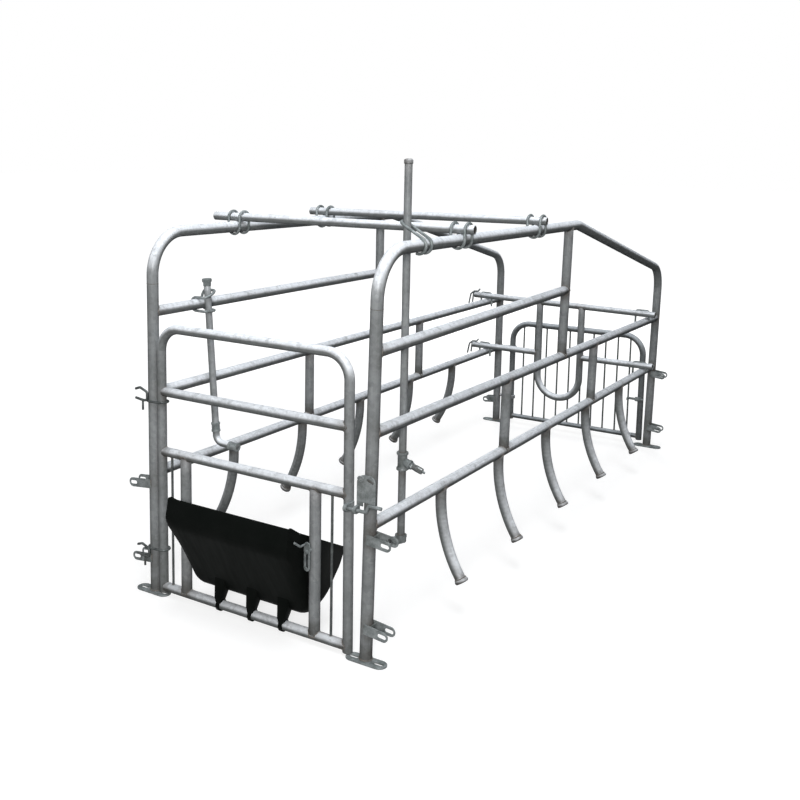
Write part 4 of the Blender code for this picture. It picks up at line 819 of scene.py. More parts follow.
def dress_latch():
    shape = Shape("front_latch_plate")
    left, right = LATCH_PLATE_X
    low, high = LATCH_PLATE_Z
    eye_right = LATCH_EYE_X + LATCH_EYE_THICKNESS / 2 + LATCH_PLATE_THICKNESS * 2
    eye_low = low - LATCH_EYE_RADIUS
    corners = [(left, eye_low, 0), (left, high, 0), (right, high, 0), (right, low, 0)]
    outline = bent_path(corners, LATCH_PLATE_BENDS, 10) + [(eye_right, low), (eye_right, eye_low)]
    slot_place = Vector((right - LATCH_SLOT_EDGE, high - LATCH_SLOT_EDGE, 0))
    tilt = Matrix.Rotation(LATCH_SLOT_TILT, 3, "Z")
    slot = [slot_place + tilt @ point for point in slot_outline(*LATCH_SLOT)]
    y = -POST - SEAT_GAP - LATCH_PLATE_THICKNESS / 2
    plate(shape, [outline, slot], LATCH_PLATE_THICKNESS, (0, y, 0), FACING_Y)
    latch_eye(shape, LATCH_EYE_X, LATCH_EYE_THICKNESS, LATCH_STAND_OFF + 0.002)
    for z in (low + 0.017, high - 0.021):
        bead(shape, Vector((left + 0.0035, -POST - 0.0002, z)), Z_WAY * 0.009, 0.0017)
    WELDS.append((Vector((0.352, -POST, 0.440)), 0.024))
    ring_place = (left + 0.012, y - LATCH_PLATE_THICKNESS / 2 - 0.0016, high - 0.010)
    ring = arc_points(ring_place, (0.0085, 0, 0), (0, 0, 0.0062), 0, 340, 20)
    tube(shape, ring, 0.0014, sides=8, slot=ZINC, ripple=0.0)
    tip = Vector((LATCH_LUG_X + LATCH_LUG_THICKNESS / 2 + 0.0015, LATCH_Y, LATCH_Z))
    bend = Vector((LATCH_EYE_X + 0.030, LATCH_Y, LATCH_Z))
    reach, forward, rise = LATCH_HANDLE
    handle = bend + Vector((0.008, forward, rise))
    path = bent_path([tip, bend, handle, handle + X_WAY * reach], [0.008] * 2, 8)
    tube(Shape("front_latch_bolt"), path, LATCH_ROD, sides=18, slot=ZINC, ripple=0.00006)


# Trough

def rim_z(y):
    return TROUGH_RIM[0] + TROUGH_RIM[1] * y


def bowl_columns():
    """Each section's X and how far it is drawn in, quarter circles at the bowl's two ends."""
    ends = []
    for step in range(TROUGH_COLUMNS + 1):
        angle = math.radians(90 * step / TROUGH_COLUMNS)
        ends.append((TROUGH_CORNER * (1 - math.cos(angle)), TROUGH_CORNER * (1 - math.sin(angle))))
    columns = [(TROUGH_LEFT_X + run, inset) for run, inset in ends]
    start = TROUGH_LEFT_X + TROUGH_CORNER
    length = TROUGH_RIGHT_X - TROUGH_LEFT_X - 2 * TROUGH_CORNER
    columns += [(start + length * step / TROUGH_COLUMNS, 0.0) for step in range(1, TROUGH_COLUMNS)]
    return columns + [(TROUGH_RIGHT_X - run, inset) for run, inset in reversed(ends)]


def trough_bowl():
    """The bowl's wall: a section swept along X, thickened and with broken edges."""
    corners = (*TROUGH_SECTION, (TROUGH_LIP_Y, rim_z(TROUGH_LIP_Y)))
    section = refined(bent_path([(0, *corner) for corner in corners], TROUGH_BENDS, 9), 0.020)
    middle = Vector((0, *TROUGH_MIDDLE))
    shallow, deep = TROUGH_CORNER_DEPTH
    work = bmesh.new()
    grid = []
    for x, inset in bowl_columns():
        line = []
        for point in section:
            depth = rim_z(point.y) - point.z
            weight = min(1.0, max(0.0, (depth - shallow) / (deep - shallow)))
            inward = (middle - point).normalized()
            place = Vector((x, point.y, point.z)) + inward * inset * weight
            dent = abs(noise.noise(place * 14.0)) * TROUGH_DENT * weight
            line.append(work.verts.new(place + inward * dent))
        grid.append(line)
    for near, far in zip(grid, grid[1:]):
        for index in range(len(section) - 1):
            work.faces.new((near[index], near[index + 1], far[index + 1], far[index]))
    for line in (grid[0], grid[-1]):
        x = line[0].co.x
        rim_points = [work.verts.new((x, y, rim_z(y))) for y in TROUGH_RIM_CUT_Y]
        work.faces.new(line + rim_points + [work.verts.new((x, *TROUGH_NOTCH))])
    bmesh.ops.recalc_face_normals(work, faces=work.faces)
    mesh = bpy.data.meshes.new("bowl")
    work.to_mesh(mesh)
    work.free()
    bowl = bpy.data.objects.new("bowl", mesh)
    bpy.context.scene.collection.objects.link(bowl)
    shell = bowl.modifiers.new("wall", "SOLIDIFY")
    shell.thickness = TROUGH_WALL
    shell.offset = -1.0
    shell.use_even_offset = True
    edges = bowl.modifiers.new("edges", "BEVEL")
    edges.width = 0.0012
    edges.segments = 2
    edges.limit_method = "ANGLE"
    edges.angle_limit = math.radians(40)
    bpy.context.view_layer.update()
    done = bpy.data.meshes.new_from_object(bowl.evaluated_get(bpy.context.evaluated_depsgraph_get()))
    bpy.data.objects.remove(bowl, do_unlink=True)
    places = [vertex.co for vertex in done.vertices]
    points = [Vector((place.x, max(place.y, TROUGH_FRONT_Y), place.z)) for place in places]
    faces = [list(polygon.vertices) for polygon in done.polygons]
    bpy.data.meshes.remove(done)
    return points, faces


def dress_trough():
    shape = Shape("trough")
    points, faces = trough_bowl()
    shape.add(points, faces, [PLASTIC] * len(faces))
    ring_inner = GATE + RUNNING_GAP
    ring_outer = ring_inner + TROUGH_CLIP_WALL
    z = GATE_BOTTOM_RAIL_Z
    tab = [
        (-0.0155, z + 0.010), (-0.006, z + ring_outer - 0.0015), (0.004, z + ring_outer - 0.0012),
        (0.008, 0.0665), (-0.012, 0.098), (-0.019, 0.108), (-0.0205, 0.050),
    ]
    clip = [disc_outline(ring_outer), disc_outline(ring_inner)]
    for left in TROUGH_TAB_X:
        start = len(shape.points)
        place = (left + TROUGH_TAB_WIDTH / 2, 0, 0)
        plate(shape, [tab], TROUGH_TAB_WIDTH, place, FACING_X, PLASTIC, 0.0012)
        for point in shape.points[start:]:
            share = min(1.0, max(0.0, (point.z - 0.030) / 0.060))
            width = TROUGH_CLIP_WIDTH + (TROUGH_TAB_WIDTH - TROUGH_CLIP_WIDTH) * (0.15 + 0.70 * share)
            point.x = left + (point.x - left) * width / TROUGH_TAB_WIDTH
        place = (left + TROUGH_CLIP_WIDTH / 2, 0, z)
        plate(shape, clip, TROUGH_CLIP_WIDTH, place, FACING_X, PLASTIC, 0.0008)


def dress_holder():
    shape = Shape("trough_holder")
    length, width, thickness = HOLDER_PLATE
    outlines = [slot_outline(length, width, steps=12), slot_outline(*HOLDER_SLOT, HOLDER_SLOT_OFFSET)]
    plate(shape, outlines, thickness, (HOLDER_X, HOLDER_Y, HOLDER_PLATE_Z), (math.pi / 2, math.pi / 2, 0))
    bend = Vector((HOLDER_GRIP_X, HOLDER_Y - 0.025, HOLDER_GRIP_Z))
    grip = [bend + Vector((0, -0.025, 0.018)), bend, bend + Vector((0, 0.026, 0))]
    rod(shape, bent_path(grip, [0.006], 6), WIRE)
    bead(shape, Vector((HOLDER_GRIP_X, HOLDER_Y - 0.0022, HOLDER_GRIP_Z)), X_WAY * 0.003, 0.0022)


# Rear gate

def dress_rear_gate():
    shape = Shape("rear_gate")
    y = LENGTH
    corners = [(REAR_LEFT_X, y, REAR_FOOT_Z), (REAR_LEFT_X, y, REAR_TOP_Z), (REAR_RIGHT_X, y, REAR_TOP_Z),
               (REAR_RIGHT_X, y, REAR_FOOT_Z)]
    tube(shape, bent_path(corners, [REAR_BEND] * 2, 20), BAR, slot=DARKER_TUBE, ends=("open", "open"))
    rail_ends = [Vector((x, y, REAR_RAIL_Z)) for x in (REAR_LEFT_X, REAR_RIGHT_X)]
    member(shape, *rail_ends, PIPE, [(Z_WAY, BAR)] * 2, (0.0, 0.0), GATE_BEAD, slot=DARKER_TUBE)
    step = (REAR_RIGHT_X - REAR_LEFT_X) / (REAR_ROD_COUNT + 1)
    for index in range(REAR_ROD_COUNT):
        x = REAR_LEFT_X + step * (index + 1)
        past = max(REAR_LEFT_X + REAR_BEND - x, x - REAR_RIGHT_X + REAR_BEND, 0.0)
        top = REAR_TOP_Z - (REAR_BEND - math.sqrt(REAR_BEND ** 2 - past ** 2))
        member(shape, Vector((x, y, REAR_RAIL_Z)), Vector((x, y, top)), ROD, [(X_WAY, PIPE), (X_WAY, BAR)],
               (0.0, 0.002), ROD_BEAD, sides=ROD_SIDES, slot=DULL)
    dress_rear_latch(shape)
    for level, hinge_z in REAR_HINGES.items():
        dress_rear_hinge(Shape("rear_gate_hinge_" + level), hinge_z)


def dress_rear_latch(gate):
    """The bolt's barrel on the gate, the foot that carries it, and the bolt with its knob."""
    x, y, z = REAR_LATCH
    outer, inner, length = REAR_BARREL
    plate(gate, [disc_outline(outer), disc_outline(inner)], length, (x, y, z), FACING_X)
    foot_y = y + 0.0069
    depth = LENGTH - 0.006 - foot_y
    plate(gate, [box_outline(0.006, 0.007)], depth, (x, foot_y + depth / 2, z), FACING_Y)
    bolt = Shape("rear_latch_bolt")
    end = REAR_RIGHT_X + 0.018
    start = end - REAR_BOLT_LENGTH
    tube(bolt, [(start, y, z), (end, y, z)], REAR_BOLT, sides=20, slot=ZINC, ripple=0.00005)
    knob = [(0.0, 0.0030), (0.004, 0.0034), (0.006, 0.0026), (0.018, 0.0027), (0.020, 0.0034),
            (0.0245, 0.0034), (0.0257, 0.0026), (0.026, 0.0012)]
    turned(bolt, Vector((start + 0.008, y, z)), -Y_WAY, knob, sides=20)


def dress_rear_hinge(shape, z):
    """An eye round the gate's tube on an arm welded to the post."""
    inner = BAR + RUNNING_GAP
    outer = inner + REAR_HINGE_WALL
    eye = Vector((REAR_LEFT_X, LENGTH, z))
    post = on_panel("left", LENGTH, z)
    plate(shape, [disc_outline(outer), disc_outline(inner)], REAR_HINGE_HEIGHT, eye, slot=TUBE)
    arm = [post + X_WAY * POST * 0.6, eye - X_WAY * (inner + 0.0015)]
    tube(shape, arm, REAR_HINGE_ARM, sides=20)
    weld(shape, post, X_WAY, Z_WAY, REAR_HINGE_ARM, POST, GATE_BEAD)
    weld(shape, eye, -X_WAY, Z_WAY, REAR_HINGE_ARM, outer, 0.0016)


# Restraint

def on_upper_bar(x):
    left_z, right_z = RESTRAINT_UPPER_Z
    return Vector((x, RESTRAINT_Y, left_z + (right_z - left_z) * (x + HALF_WIDTH) / (2 * HALF_WIDTH)))


def on_low_bar(x):
    return Vector((x, RESTRAINT_Y, RESTRAINT_LOW_Z))


def dress_restraint():
    """A U of tube hung between two bars that lie across the side rails."""
    shape = Shape("rear_restraint")
    leg = RESTRAINT_LEG_X
    tube(shape, [on_upper_bar(x) for x in RESTRAINT_UPPER_ENDS], BAR, ends=("open", "open"))
    bottom = (0, RESTRAINT_Y, RESTRAINT_BOTTOM_Z + leg)
    hanger = [on_upper_bar(-leg)] + arc_points(bottom, (leg, 0, 0), (0, 0, leg), 180, 360, 36)
    tube(shape, hanger + [on_upper_bar(leg)], RESTRAINT_TUBE)
    across = on_upper_bar(HALF_WIDTH) - on_upper_bar(-HALF_WIDTH)
    for way, end in zip((-1, 1), RESTRAINT_LOW_ENDS):
        weld(shape, on_upper_bar(way * leg), -Z_WAY, across, RESTRAINT_TUBE, BAR, GATE_BEAD)
        start = on_low_bar(way * leg)
        tube(shape, [start, on_low_bar(end)], BAR, ends=("flat", "open"))
        weld(shape, start, X_WAY * way, Z_WAY, BAR, RESTRAINT_TUBE, GATE_BEAD)
        for on_bar in (on_upper_bar, on_low_bar):
            dress_guide(shape, on_bar(way * RESTRAINT_GUIDE_X), way)
    for bar_z in (on_upper_bar(-0.40).z, RESTRAINT_LOW_Z):
        dress_end_clip(shape, bar_z)


def dress_guide(shape, top, way):
    """A bent rod over the bar, one leg hanging beside the rail and the other curled outside it."""
    outer_x = way * (HALF_WIDTH + RAIL + CLAMP + 0.006)
    low = top.z - 0.045
    crown = top.z + BAR + CLAMP * 0.2
    path = [(top.x, top.y, low), (top.x, top.y, crown), (outer_x, top.y + 0.004, crown),
            (outer_x, top.y + 0.006, low + 0.020)]
    rod(shape, bent_path(path, [0.010, 0.010], 8))


def dress_end_clip(shape, z):
    """A sprung rod curled over the left end of a bar, its legs astride the rail's outer side."""
    y = RESTRAINT_Y
    top = z + BAR + CLAMP * 0.6
    curl = [(-0.380, y, top + 0.012), (-0.388, y, top + 0.001), (-0.408, y, top), (-0.424, y, z + 0.002),
            (-0.4330, y, z - 0.042)]
    leg = [(-0.398, y + 0.004, top - 0.001), (-0.413, y + 0.006, top - 0.003),
           (-0.419, y + 0.008, z - 0.036)]
    rod(shape, bent_path(curl, [0.004, 0.008, 0.008], 6), CLIP_ROD)
    rod(shape, bent_path(leg, [0.005], 6), CLIP_ROD)


# Drinkers

def dress_right_drinker():
    """The tall pipe with its cap, tee, nipple and elbow, and the pin in the nipple."""
    shape = Shape("right_drinker_pipe")
    low, top = RIGHT_PIPE_Z
    knee = Vector((*RIGHT_DRINKER, low))
    crown = Vector((*RIGHT_DRINKER, top))
    tube(shape, [knee, crown - Z_WAY * 0.0012], PIPE, ends=("flat", "round"))
    cap = PIPE + 0.0016
    turned(shape, crown, Z_WAY,
           [(-0.0130, PIPE - 0.0006), (-0.0128, cap - 0.0008), (-0.0120, cap), (-0.0034, cap),
            (-0.0022, cap - 0.0007), (-0.0014, cap - 0.0024), (-0.0010, PIPE * 0.45)], sides=28, slot=TUBE)
    WELDS.append((crown, 0.020))
    tee = Vector((*RIGHT_DRINKER, NIPPLE_Z))
    half_tee = [(0.0160, 0.0126), (0.0168, 0.0146), (0.018, 0.0154), (0.0232, 0.0154), (0.024, 0.0144),
                (0.024, 0.0118)]
    turned(shape, tee, Z_WAY, [(-out, size) for out, size in reversed(half_tee)] + half_tee, sides=28)
    branch = [(0.004, 0.0112), (0.0190, 0.0112), (0.0196, 0.0122), (0.0202, 0.0128), (0.0252, 0.0128),
              (0.026, 0.0120), (0.026, 0.0070)]
    turned(shape, tee, NIPPLE_WAY, branch, sides=28)
    nut = [(0.0245, 0.0092), (0.0255, 0.0100), (0.0315, 0.0100), (0.0325, 0.0092)]
    turned(shape, tee, NIPPLE_WAY, nut, sides=6, spin=0.3)
    nipple = [(0.024, 0.0080), (0.040, 0.0080), (0.0405, 0.0086), (0.0575, 0.0086), (0.0613, 0.0080),
              (0.062, 0.0070), (0.062, 0.0039), (0.0465, 0.0039), (0.0460, 0.0030)]
    turned(shape, tee, NIPPLE_WAY, nipple, slot=POLISHED)
    elbow = [(-0.006, 0.0110), (-0.0058, 0.0134), (-0.004, 0.0142), (0.007, 0.0142), (0.0078, 0.0154),
             (0.0134, 0.0154), (0.014, 0.0146), (0.014, 0.0100)]
    turned(shape, knee, Z_WAY, elbow, sides=28)
    outlet = [(0.0, 0.0112), (0.022, 0.0112), (0.0226, 0.0124), (0.0316, 0.0124), (0.0322, 0.0116),
              (0.0322, 0.0088), (0.018, 0.0086)]
    turned(shape, knee, OUTLET_WAY, outlet, sides=26)
    ring_weld(shape, knee + Z_WAY * 0.015, Z_WAY, PIPE + 0.0002, 0.0012)
    for level in (-0.0245, 0.0245):
        ring_weld(shape, tee + Z_WAY * level, Z_WAY, PIPE + 0.0002, 0.0011)
    pin = [(0.0, 0.0026), (0.0005, 0.0030), (0.0155, 0.0030), (0.0166, 0.0026), (0.0170, 0.0016)]
    turned(Shape("drinker_valve_pin"), tee + NIPPLE_WAY * 0.053, NIPPLE_WAY, pin, sides=20)


def dress_drinker_loop():
    """A rod from behind the top rail, round the tall pipe and back."""
    x, y = RIGHT_DRINKER
    rail = on_panel("right", y, top_rail_z(y))
    wrap = POST + RUNNING_GAP + CLAMP
    spread = PIPE + RUNNING_GAP + CLAMP
    loop_z = TOP_FRONT_Z + 0.046
    strands = []
    for way in (-1, 1):
        place = rail + Y_WAY * way * spread
        strands.append(arc_points(place, (wrap, 0, 0), (0, 0, wrap), -110, 62, 20))
    slope = (loop_z - strands[0][-1].z) / (x - strands[0][-1].x)
    bend = arc_points((x, y, loop_z), (-spread, 0, 0), (0, spread, 0), -90, 90, 20)
    for point in bend:
        point.z += slope * (point.x - x)
    rod(Shape("right_drinker_loop"), strands[0] + bend + strands[1][::-1])


def dress_left_drinker():
    """The leaning pipe with its cap, knee and outlet, clamped to the left high rail."""
    shape = Shape("left_drinker")
    y = LEFT_DRINKER_Y
    crossing_z = line_z(HIGH_RAIL_Z["left"], y, LONG_STRUT_Y["left"])
    crossing = Vector((-HALF_WIDTH + RAIL + PIPE + SEAT_GAP, y, crossing_z))
    knee = Vector((-HALF_WIDTH + 0.0545, y, 0.397))
    outlet = Vector((-HALF_WIDTH + 0.132, y, 0.393))
    down = (knee - crossing).normalized()
    top = crossing + down * ((crossing.z - LEFT_DRINKER_TOP_Z) / -down.z)
    tube(shape, bent_path([top, knee, outlet], [0.024], 14), PIPE)
    cap = [(-0.002, 0.0090), (-0.0016, 0.0120), (0.0, 0.0140), (0.007, 0.0140), (0.0085, 0.0130),
           (0.009, 0.0112), (0.019, 0.0112), (0.020, 0.0104)]
    turned(shape, top, down, cap, sides=26)
    collar = [(0.0, 0.0100), (0.0002, 0.0122), (0.001, 0.0130), (0.006, 0.0130), (0.0068, 0.0118)]
    socket = [(0.030 + out, size) for out, size in collar]
    socket += [(0.0512, 0.0118), (0.052, 0.0130), (0.057, 0.0130), (0.058, 0.0120), (0.058, 0.0100)]
    turned(shape, knee, -down, socket, sides=26)
    spout = [(out - 0.030, size) for out, size in collar]
    spout += [(-0.004, 0.0118), (-0.003, 0.0130), (0.001, 0.0130), (0.002, 0.0120), (0.002, 0.0082),
              (-0.010, 0.0080)]
    turned(shape, outlet, X_WAY, spout, sides=26)
    strand = clamp_path(crossing, RAIL, PIPE, Y_WAY, Z_WAY, X_WAY, bar_gap=-0.001)
    for point in strand:
        if point.z > crossing.z:
            share = (point.y - y + CLAMP_HALF_WIDTH) / (2 * CLAMP_HALF_WIDTH)
            point.z += (point.z - crossing.z) * 0.9 * max(0.0, share)
    rod(shape, strand, closed=True)


# Materials

NO_GLINT = {"Specular IOR Level": 0.0, "Specular Tint": (0.10, 0.10, 0.11)}


class Shader:
    """One node tree, with short calls for the nodes that the looks are made of."""

    def __init__(self, owner, output="ShaderNodeOutputMaterial"):
        owner.use_nodes = True
        self.owner = owner
        self.tree = owner.node_tree
        self.tree.nodes.clear()
        self.output = self.add(output).inputs["Surface"]

    def join(self, value, socket):
        """Link a node's output to the socket, or set the value on the socket itself."""
        if isinstance(value, bpy.types.NodeSocket):
            self.tree.links.new(value, socket)
        elif socket.type == "RGBA":
            socket.default_value = (*value, 1.0)
        else:
            socket.default_value = value

    def add(self, kind, inputs=None, **settings):
        node = self.tree.nodes.new(kind)
        for name, value in settings.items():
            setattr(node, name, value)
        for name, value in (inputs or {}).items():
            self.join(value, node.inputs[name])
        return node

    def maths(self, operation, first, second, clamp=False):
        inputs = {0: first, 1: second}
        return self.add("ShaderNodeMath", inputs, operation=operation, use_clamp=clamp).outputs[0]

    def total(self, *parts):
        """The sum of sockets, each alone or with its own factor."""
        parts = [self.maths("MULTIPLY", *part) if isinstance(part, tuple) else part for part in parts]
        result = parts[0]
        for part in parts[1:]:
            result = self.maths("ADD", result, part)
        return result

    def mix(self, factor, first, second):
        return self.add("ShaderNodeMix", {0: factor, 6: first, 7: second}, data_type="RGBA").outputs[2]

    def ramp(self, value, low, high, to_low=0.0, to_high=1.0):
        inputs = {"Value": value, "From Min": low, "From Max": high, "To Min": to_low, "To Max": to_high}
        return self.add("ShaderNodeMapRange", inputs, clamp=True).outputs["Result"]

    def noise(self, vector, scale, detail=3.0, roughness=0.6):
        inputs = {"Vector": vector, "Scale": scale, "Detail": detail, "Roughness": roughness}
        return self.add("ShaderNodeTexNoise", inputs).outputs["Fac"]

    def coordinates(self, kind="Object"):
        return self.add("ShaderNodeTexCoord").outputs[kind]

    def grime(self):
        return self.add("ShaderNodeAttribute", attribute_name="grime").outputs["Fac"]

    def axes(self, vector):
        return self.add("ShaderNodeSeparateXYZ", {"Vector": vector}).outputs

    def stretched(self, vector, factors):
        """The vector with each axis times its own factor."""
        split = self.axes(vector)
        inputs = {axis: self.maths("MULTIPLY", split[axis], factor) for axis, factor in zip("XYZ", factors)}
        return self.add("ShaderNodeCombineXYZ", inputs).outputs[0]

    def finish(self, colour, roughness, bump=None, **inputs):
        """Close the material with its surface. A bump is its strength, distance and height."""
        inputs.update({"Base Color": colour, "Roughness": roughness})
        if bump:
            node = self.add("ShaderNodeBump", dict(zip(("Strength", "Distance", "Height"), bump)))
            inputs["Normal"] = node.outputs[0]
        self.join(self.add("ShaderNodeBsdfPrincipled", inputs).outputs[0], self.output)
        return self.owner

    def seen_and_lit(self, seen, lit):
        """Show one shader to the camera, mirrors and glass, and the other to all other rays."""
        rays = self.add("ShaderNodeLightPath").outputs
        factor = self.maths("MAXIMUM", rays["Is Camera Ray"], rays["Is Glossy Ray"])
        factor = self.maths("MAXIMUM", factor, rays["Is Transmission Ray"])
        mix = self.add("ShaderNodeMixShader", {0: factor, 1: lit.outputs[0], 2: seen.outputs[0]})
        self.join(mix.outputs[0], self.output)


def galvanised(name, light, mid, dark):
    """Hot-dip galvanised tube: zinc spangle, drawn streaks, a painted top light that makes upward faces
    paler, dirt near the welds.
    """
    shader = Shader(bpy.data.materials.new(name))
    place = shader.coordinates()
    run = shader.add("ShaderNodeAttribute", attribute_name="run").outputs["Vector"]
    tone = shader.axes(run)["Z"]
    cells = shader.add("ShaderNodeTexVoronoi", {"Vector": place, "Scale": 105.0}, feature="F1").outputs
    crystal = shader.add("ShaderNodeSeparateColor", {"Color": cells["Color"]}).outputs[0]
    cloud = shader.noise(place, 7.0, 4.0)
    patch = shader.noise(place, 34.0, 4.0, 0.62)
    streak = shader.noise(shader.stretched(run, (5.0, 210.0, 37.0)), 1.0)
    spots = shader.noise(place, 150.0, 2.0, 0.5)
    # Painted top light: faces that point up take the pale colour, as if lit from above; a little random
    # cloud breaks its edge.
    facing = shader.axes(shader.coordinates("Normal"))["Z"]
    painted_top_light = shader.total(facing, shader.ramp(cloud, 0.3, 0.7, -0.05, 0.05))
    colour = shader.mix(shader.ramp(painted_top_light, -0.05, 0.42), mid, light)
    colour = shader.mix(shader.ramp(patch, 0.54, 0.76, 0.0, 0.45), colour, dark)
    shade = shader.total(shader.ramp(crystal, 0.0, 1.0, 0.90, 1.08),
                         shader.ramp(streak, 0.3, 0.7, -0.07, 0.07),
                         shader.ramp(tone, 0.0, 1.0, -0.06, 0.05))
    colour = shader.add("ShaderNodeVectorMath", {0: colour, "Scale": shade}, operation="SCALE").outputs[0]
    dirt = shader.maths("MULTIPLY", shader.grime(), shader.ramp(patch, 0.30, 0.62, 0.35, 1.0))
    dirt = shader.maths("MULTIPLY", dirt, 0.92, clamp=True)
    colour = shader.mix(dirt, colour, (0.080, 0.060, 0.044))
    pits = shader.maths("MULTIPLY", shader.ramp(spots, 0.66, 0.74), 0.30)
    colour = shader.mix(pits, colour, (0.19, 0.18, 0.165))
    roughness = shader.total(shader.ramp(patch, 0.30, 0.75, 0.30, 0.44),
                             shader.ramp(crystal, 0.0, 1.0, -0.04, 0.05), (dirt, 0.25))
    height = shader.total((streak, 0.35), (cells["Distance"], 0.25), (spots, 0.35), (patch, 0.6))
    return shader.finish(colour, roughness, (0.22, 0.0012, height), Metallic=0.08, **NO_GLINT)


def weld_metal():
    """Weld beads under zinc: dull, lumpy and browned."""
    shader = Shader(bpy.data.materials.new("weld_bead"))
    place = shader.coordinates()
    lump = shader.noise(place, 420.0)
    patch = shader.noise(place, 60.0)
    colour = shader.mix(shader.ramp(lump, 0.35, 0.7), (0.085, 0.075, 0.065), (0.26, 0.25, 0.235))
    colour = shader.mix(shader.ramp(patch, 0.50, 0.75, 0.0, 0.6), colour, (0.13, 0.08, 0.05))
    return shader.finish(colour, shader.ramp(lump, 0.3, 0.7, 0.42, 0.62), (0.5, 0.0008, lump), Metallic=0.1)


def zinc_plated(name, low, high, scuffed):
    """Electroplated zinc on rods and plates, with scuffs and a faint green tint."""
    shader = Shader(bpy.data.materials.new(name))
    place = shader.coordinates()
    cloud = shader.noise(place, 45.0, 4.0)
    scuff = shader.noise(place, 260.0)
    colour = shader.mix(shader.ramp(cloud, 0.32, 0.70), low, high)
    colour = shader.mix(shader.ramp(scuff, 0.55, 0.72, 0.0, 0.5), colour, scuffed)
    colour = shader.mix(shader.maths("MULTIPLY", shader.grime(), 0.35), colour, (0.12, 0.105, 0.085))
    roughness = shader.ramp(scuff, 0.3, 0.75, 0.24, 0.46)
    return shader.finish(colour, roughness, (0.18, 0.0006, scuff), Metallic=0.16, **NO_GLINT)


def polished_nipple():
    """The nipple's polished body, with water marks."""
    shader = Shader(bpy.data.materials.new("polished_nipple"))
    marks = shader.noise(shader.coordinates(), 300.0)
    colour = shader.mix(shader.ramp(marks, 0.5, 0.75), (0.20, 0.21, 0.21), (0.09, 0.09, 0.085))
    roughness = shader.ramp(marks, 0.4, 0.75, 0.14, 0.34)
    return shader.finish(colour, roughness, Metallic=0.45, **{"Specular IOR Level": 0.0})


def tube_bore():
    """The inside of an open tube, painted near-black: painted shade for the dark depth of the tube, with
    random patches.
    """
    shader = Shader(bpy.data.materials.new("tube_bore"))
    patch = shader.noise(shader.coordinates(), 120.0)
    colour = shader.mix(patch, (0.020, 0.019, 0.018), (0.055, 0.050, 0.045))
    return shader.finish(colour, shader.ramp(patch, 0.3, 0.7, 0.7, 0.95))


def black_plastic():
    """Moulded black polyethylene, with a fine grain and scratches."""
    shader = Shader(bpy.data.materials.new("black_plastic"))
    place = shader.coordinates()
    grain = shader.noise(place, 900.0, 2.0, 0.5)
    cloud = shader.noise(place, 11.0, 4.0)
    scratch = shader.noise(shader.stretched(place, (90.0, 14.0, 7.0)), 1.0, 4.0, 0.65)
    colour = shader.mix(shader.ramp(cloud, 0.35, 0.7), (0.0040, 0.0052, 0.0045), (0.0070, 0.0082, 0.0075))
    colour = shader.mix(shader.ramp(scratch, 0.62, 0.82, 0.0, 0.22), colour, (0.014, 0.015, 0.015))
    roughness = shader.ramp(scratch, 0.3, 0.75, 0.42, 0.60)
    height = shader.total((grain, 0.25), (scratch, 0.5))
    return shader.finish(colour, roughness, (0.12, 0.0008, height), **{"Specular IOR Level": 0.02})


# Making the pieces

GRIME_REACH = 0.06
GRIME_SPREAD = 1.25
SHARP_ANGLE = math.radians(42)


def body_name(node):
    return frame["nodes"][node].parent.name.split(":")[1]


def make_piece(shape, materials, grime_tree, grime_widths):
    mesh = bpy.data.meshes.new(shape.node + "_skin")
    mesh.from_pydata([point + SHIFT for point in shape.points], [], shape.faces)
    for material in materials:
        mesh.materials.append(material)
    mesh.polygons.foreach_set("material_index", shape.slots)
    run = mesh.attributes.new("run", "FLOAT_VECTOR", "CORNER")
    run.data.foreach_set("vector", [value for face in shape.runs for corner in face for value in corner])
    amounts = []
    for point in shape.points:
        amount = 0.0
        for place, index, distance in grime_tree.find_range(point, GRIME_REACH):
            amount = max(amount, math.exp(-((distance / (grime_widths[index] * GRIME_SPREAD)) ** 2)))
        amounts.append(amount)
    mesh.attributes.new("grime", "FLOAT", "POINT").data.foreach_set("value", amounts)
    work = bmesh.new()
    work.from_mesh(mesh)
    bmesh.ops.recalc_face_normals(work, faces=work.faces)
    work.to_mesh(mesh)
    work.free()
    mesh.shade_smooth()
    mesh.set_sharp_from_angle(angle=SHARP_ANGLE)
    piece = bpy.data.objects.new(shape.node + "_skin", mesh)
    bpy.context.scene.collection.objects.link(piece)
    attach(piece, body_name(shape.node))
    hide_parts(shape.node)


def make_pieces():
    # In the galvanised looks the first colour is the painted top light on upward faces, the second the
    # sides and undersides, the third the random dark patches.
    cool = galvanised("galvanised_tube", (0.82, 0.85, 0.89), (0.225, 0.237, 0.24), (0.155, 0.165, 0.16))
    bright = zinc_plated("zinc_plated", (0.15, 0.17, 0.17), (0.38, 0.41, 0.42), (0.10, 0.11, 0.108))
    dull = zinc_plated("dull_zinc", (0.07, 0.077, 0.077), (0.18, 0.195, 0.195), (0.05, 0.054, 0.05))
    # A darker copy of the galvanised look, with a weaker painted top light, used on the rear gate.
    darker_galvanised = galvanised("weathered_tube", (0.46, 0.49, 0.52), (0.135, 0.145, 0.148), (0.10, 0.108, 0.108))
    materials = [cool, weld_metal(), tube_bore(), bright, black_plastic(), polished_nipple(), dull, darker_galvanised]
    tree = kdtree.KDTree(len(WELDS))
    for index, (place, width) in enumerate(WELDS):
        tree.insert(place, index)
    tree.balance()
    widths = [width for place, width in WELDS]
    for shape in SHAPES:
        make_piece(shape, materials, tree, widths)


# Stage

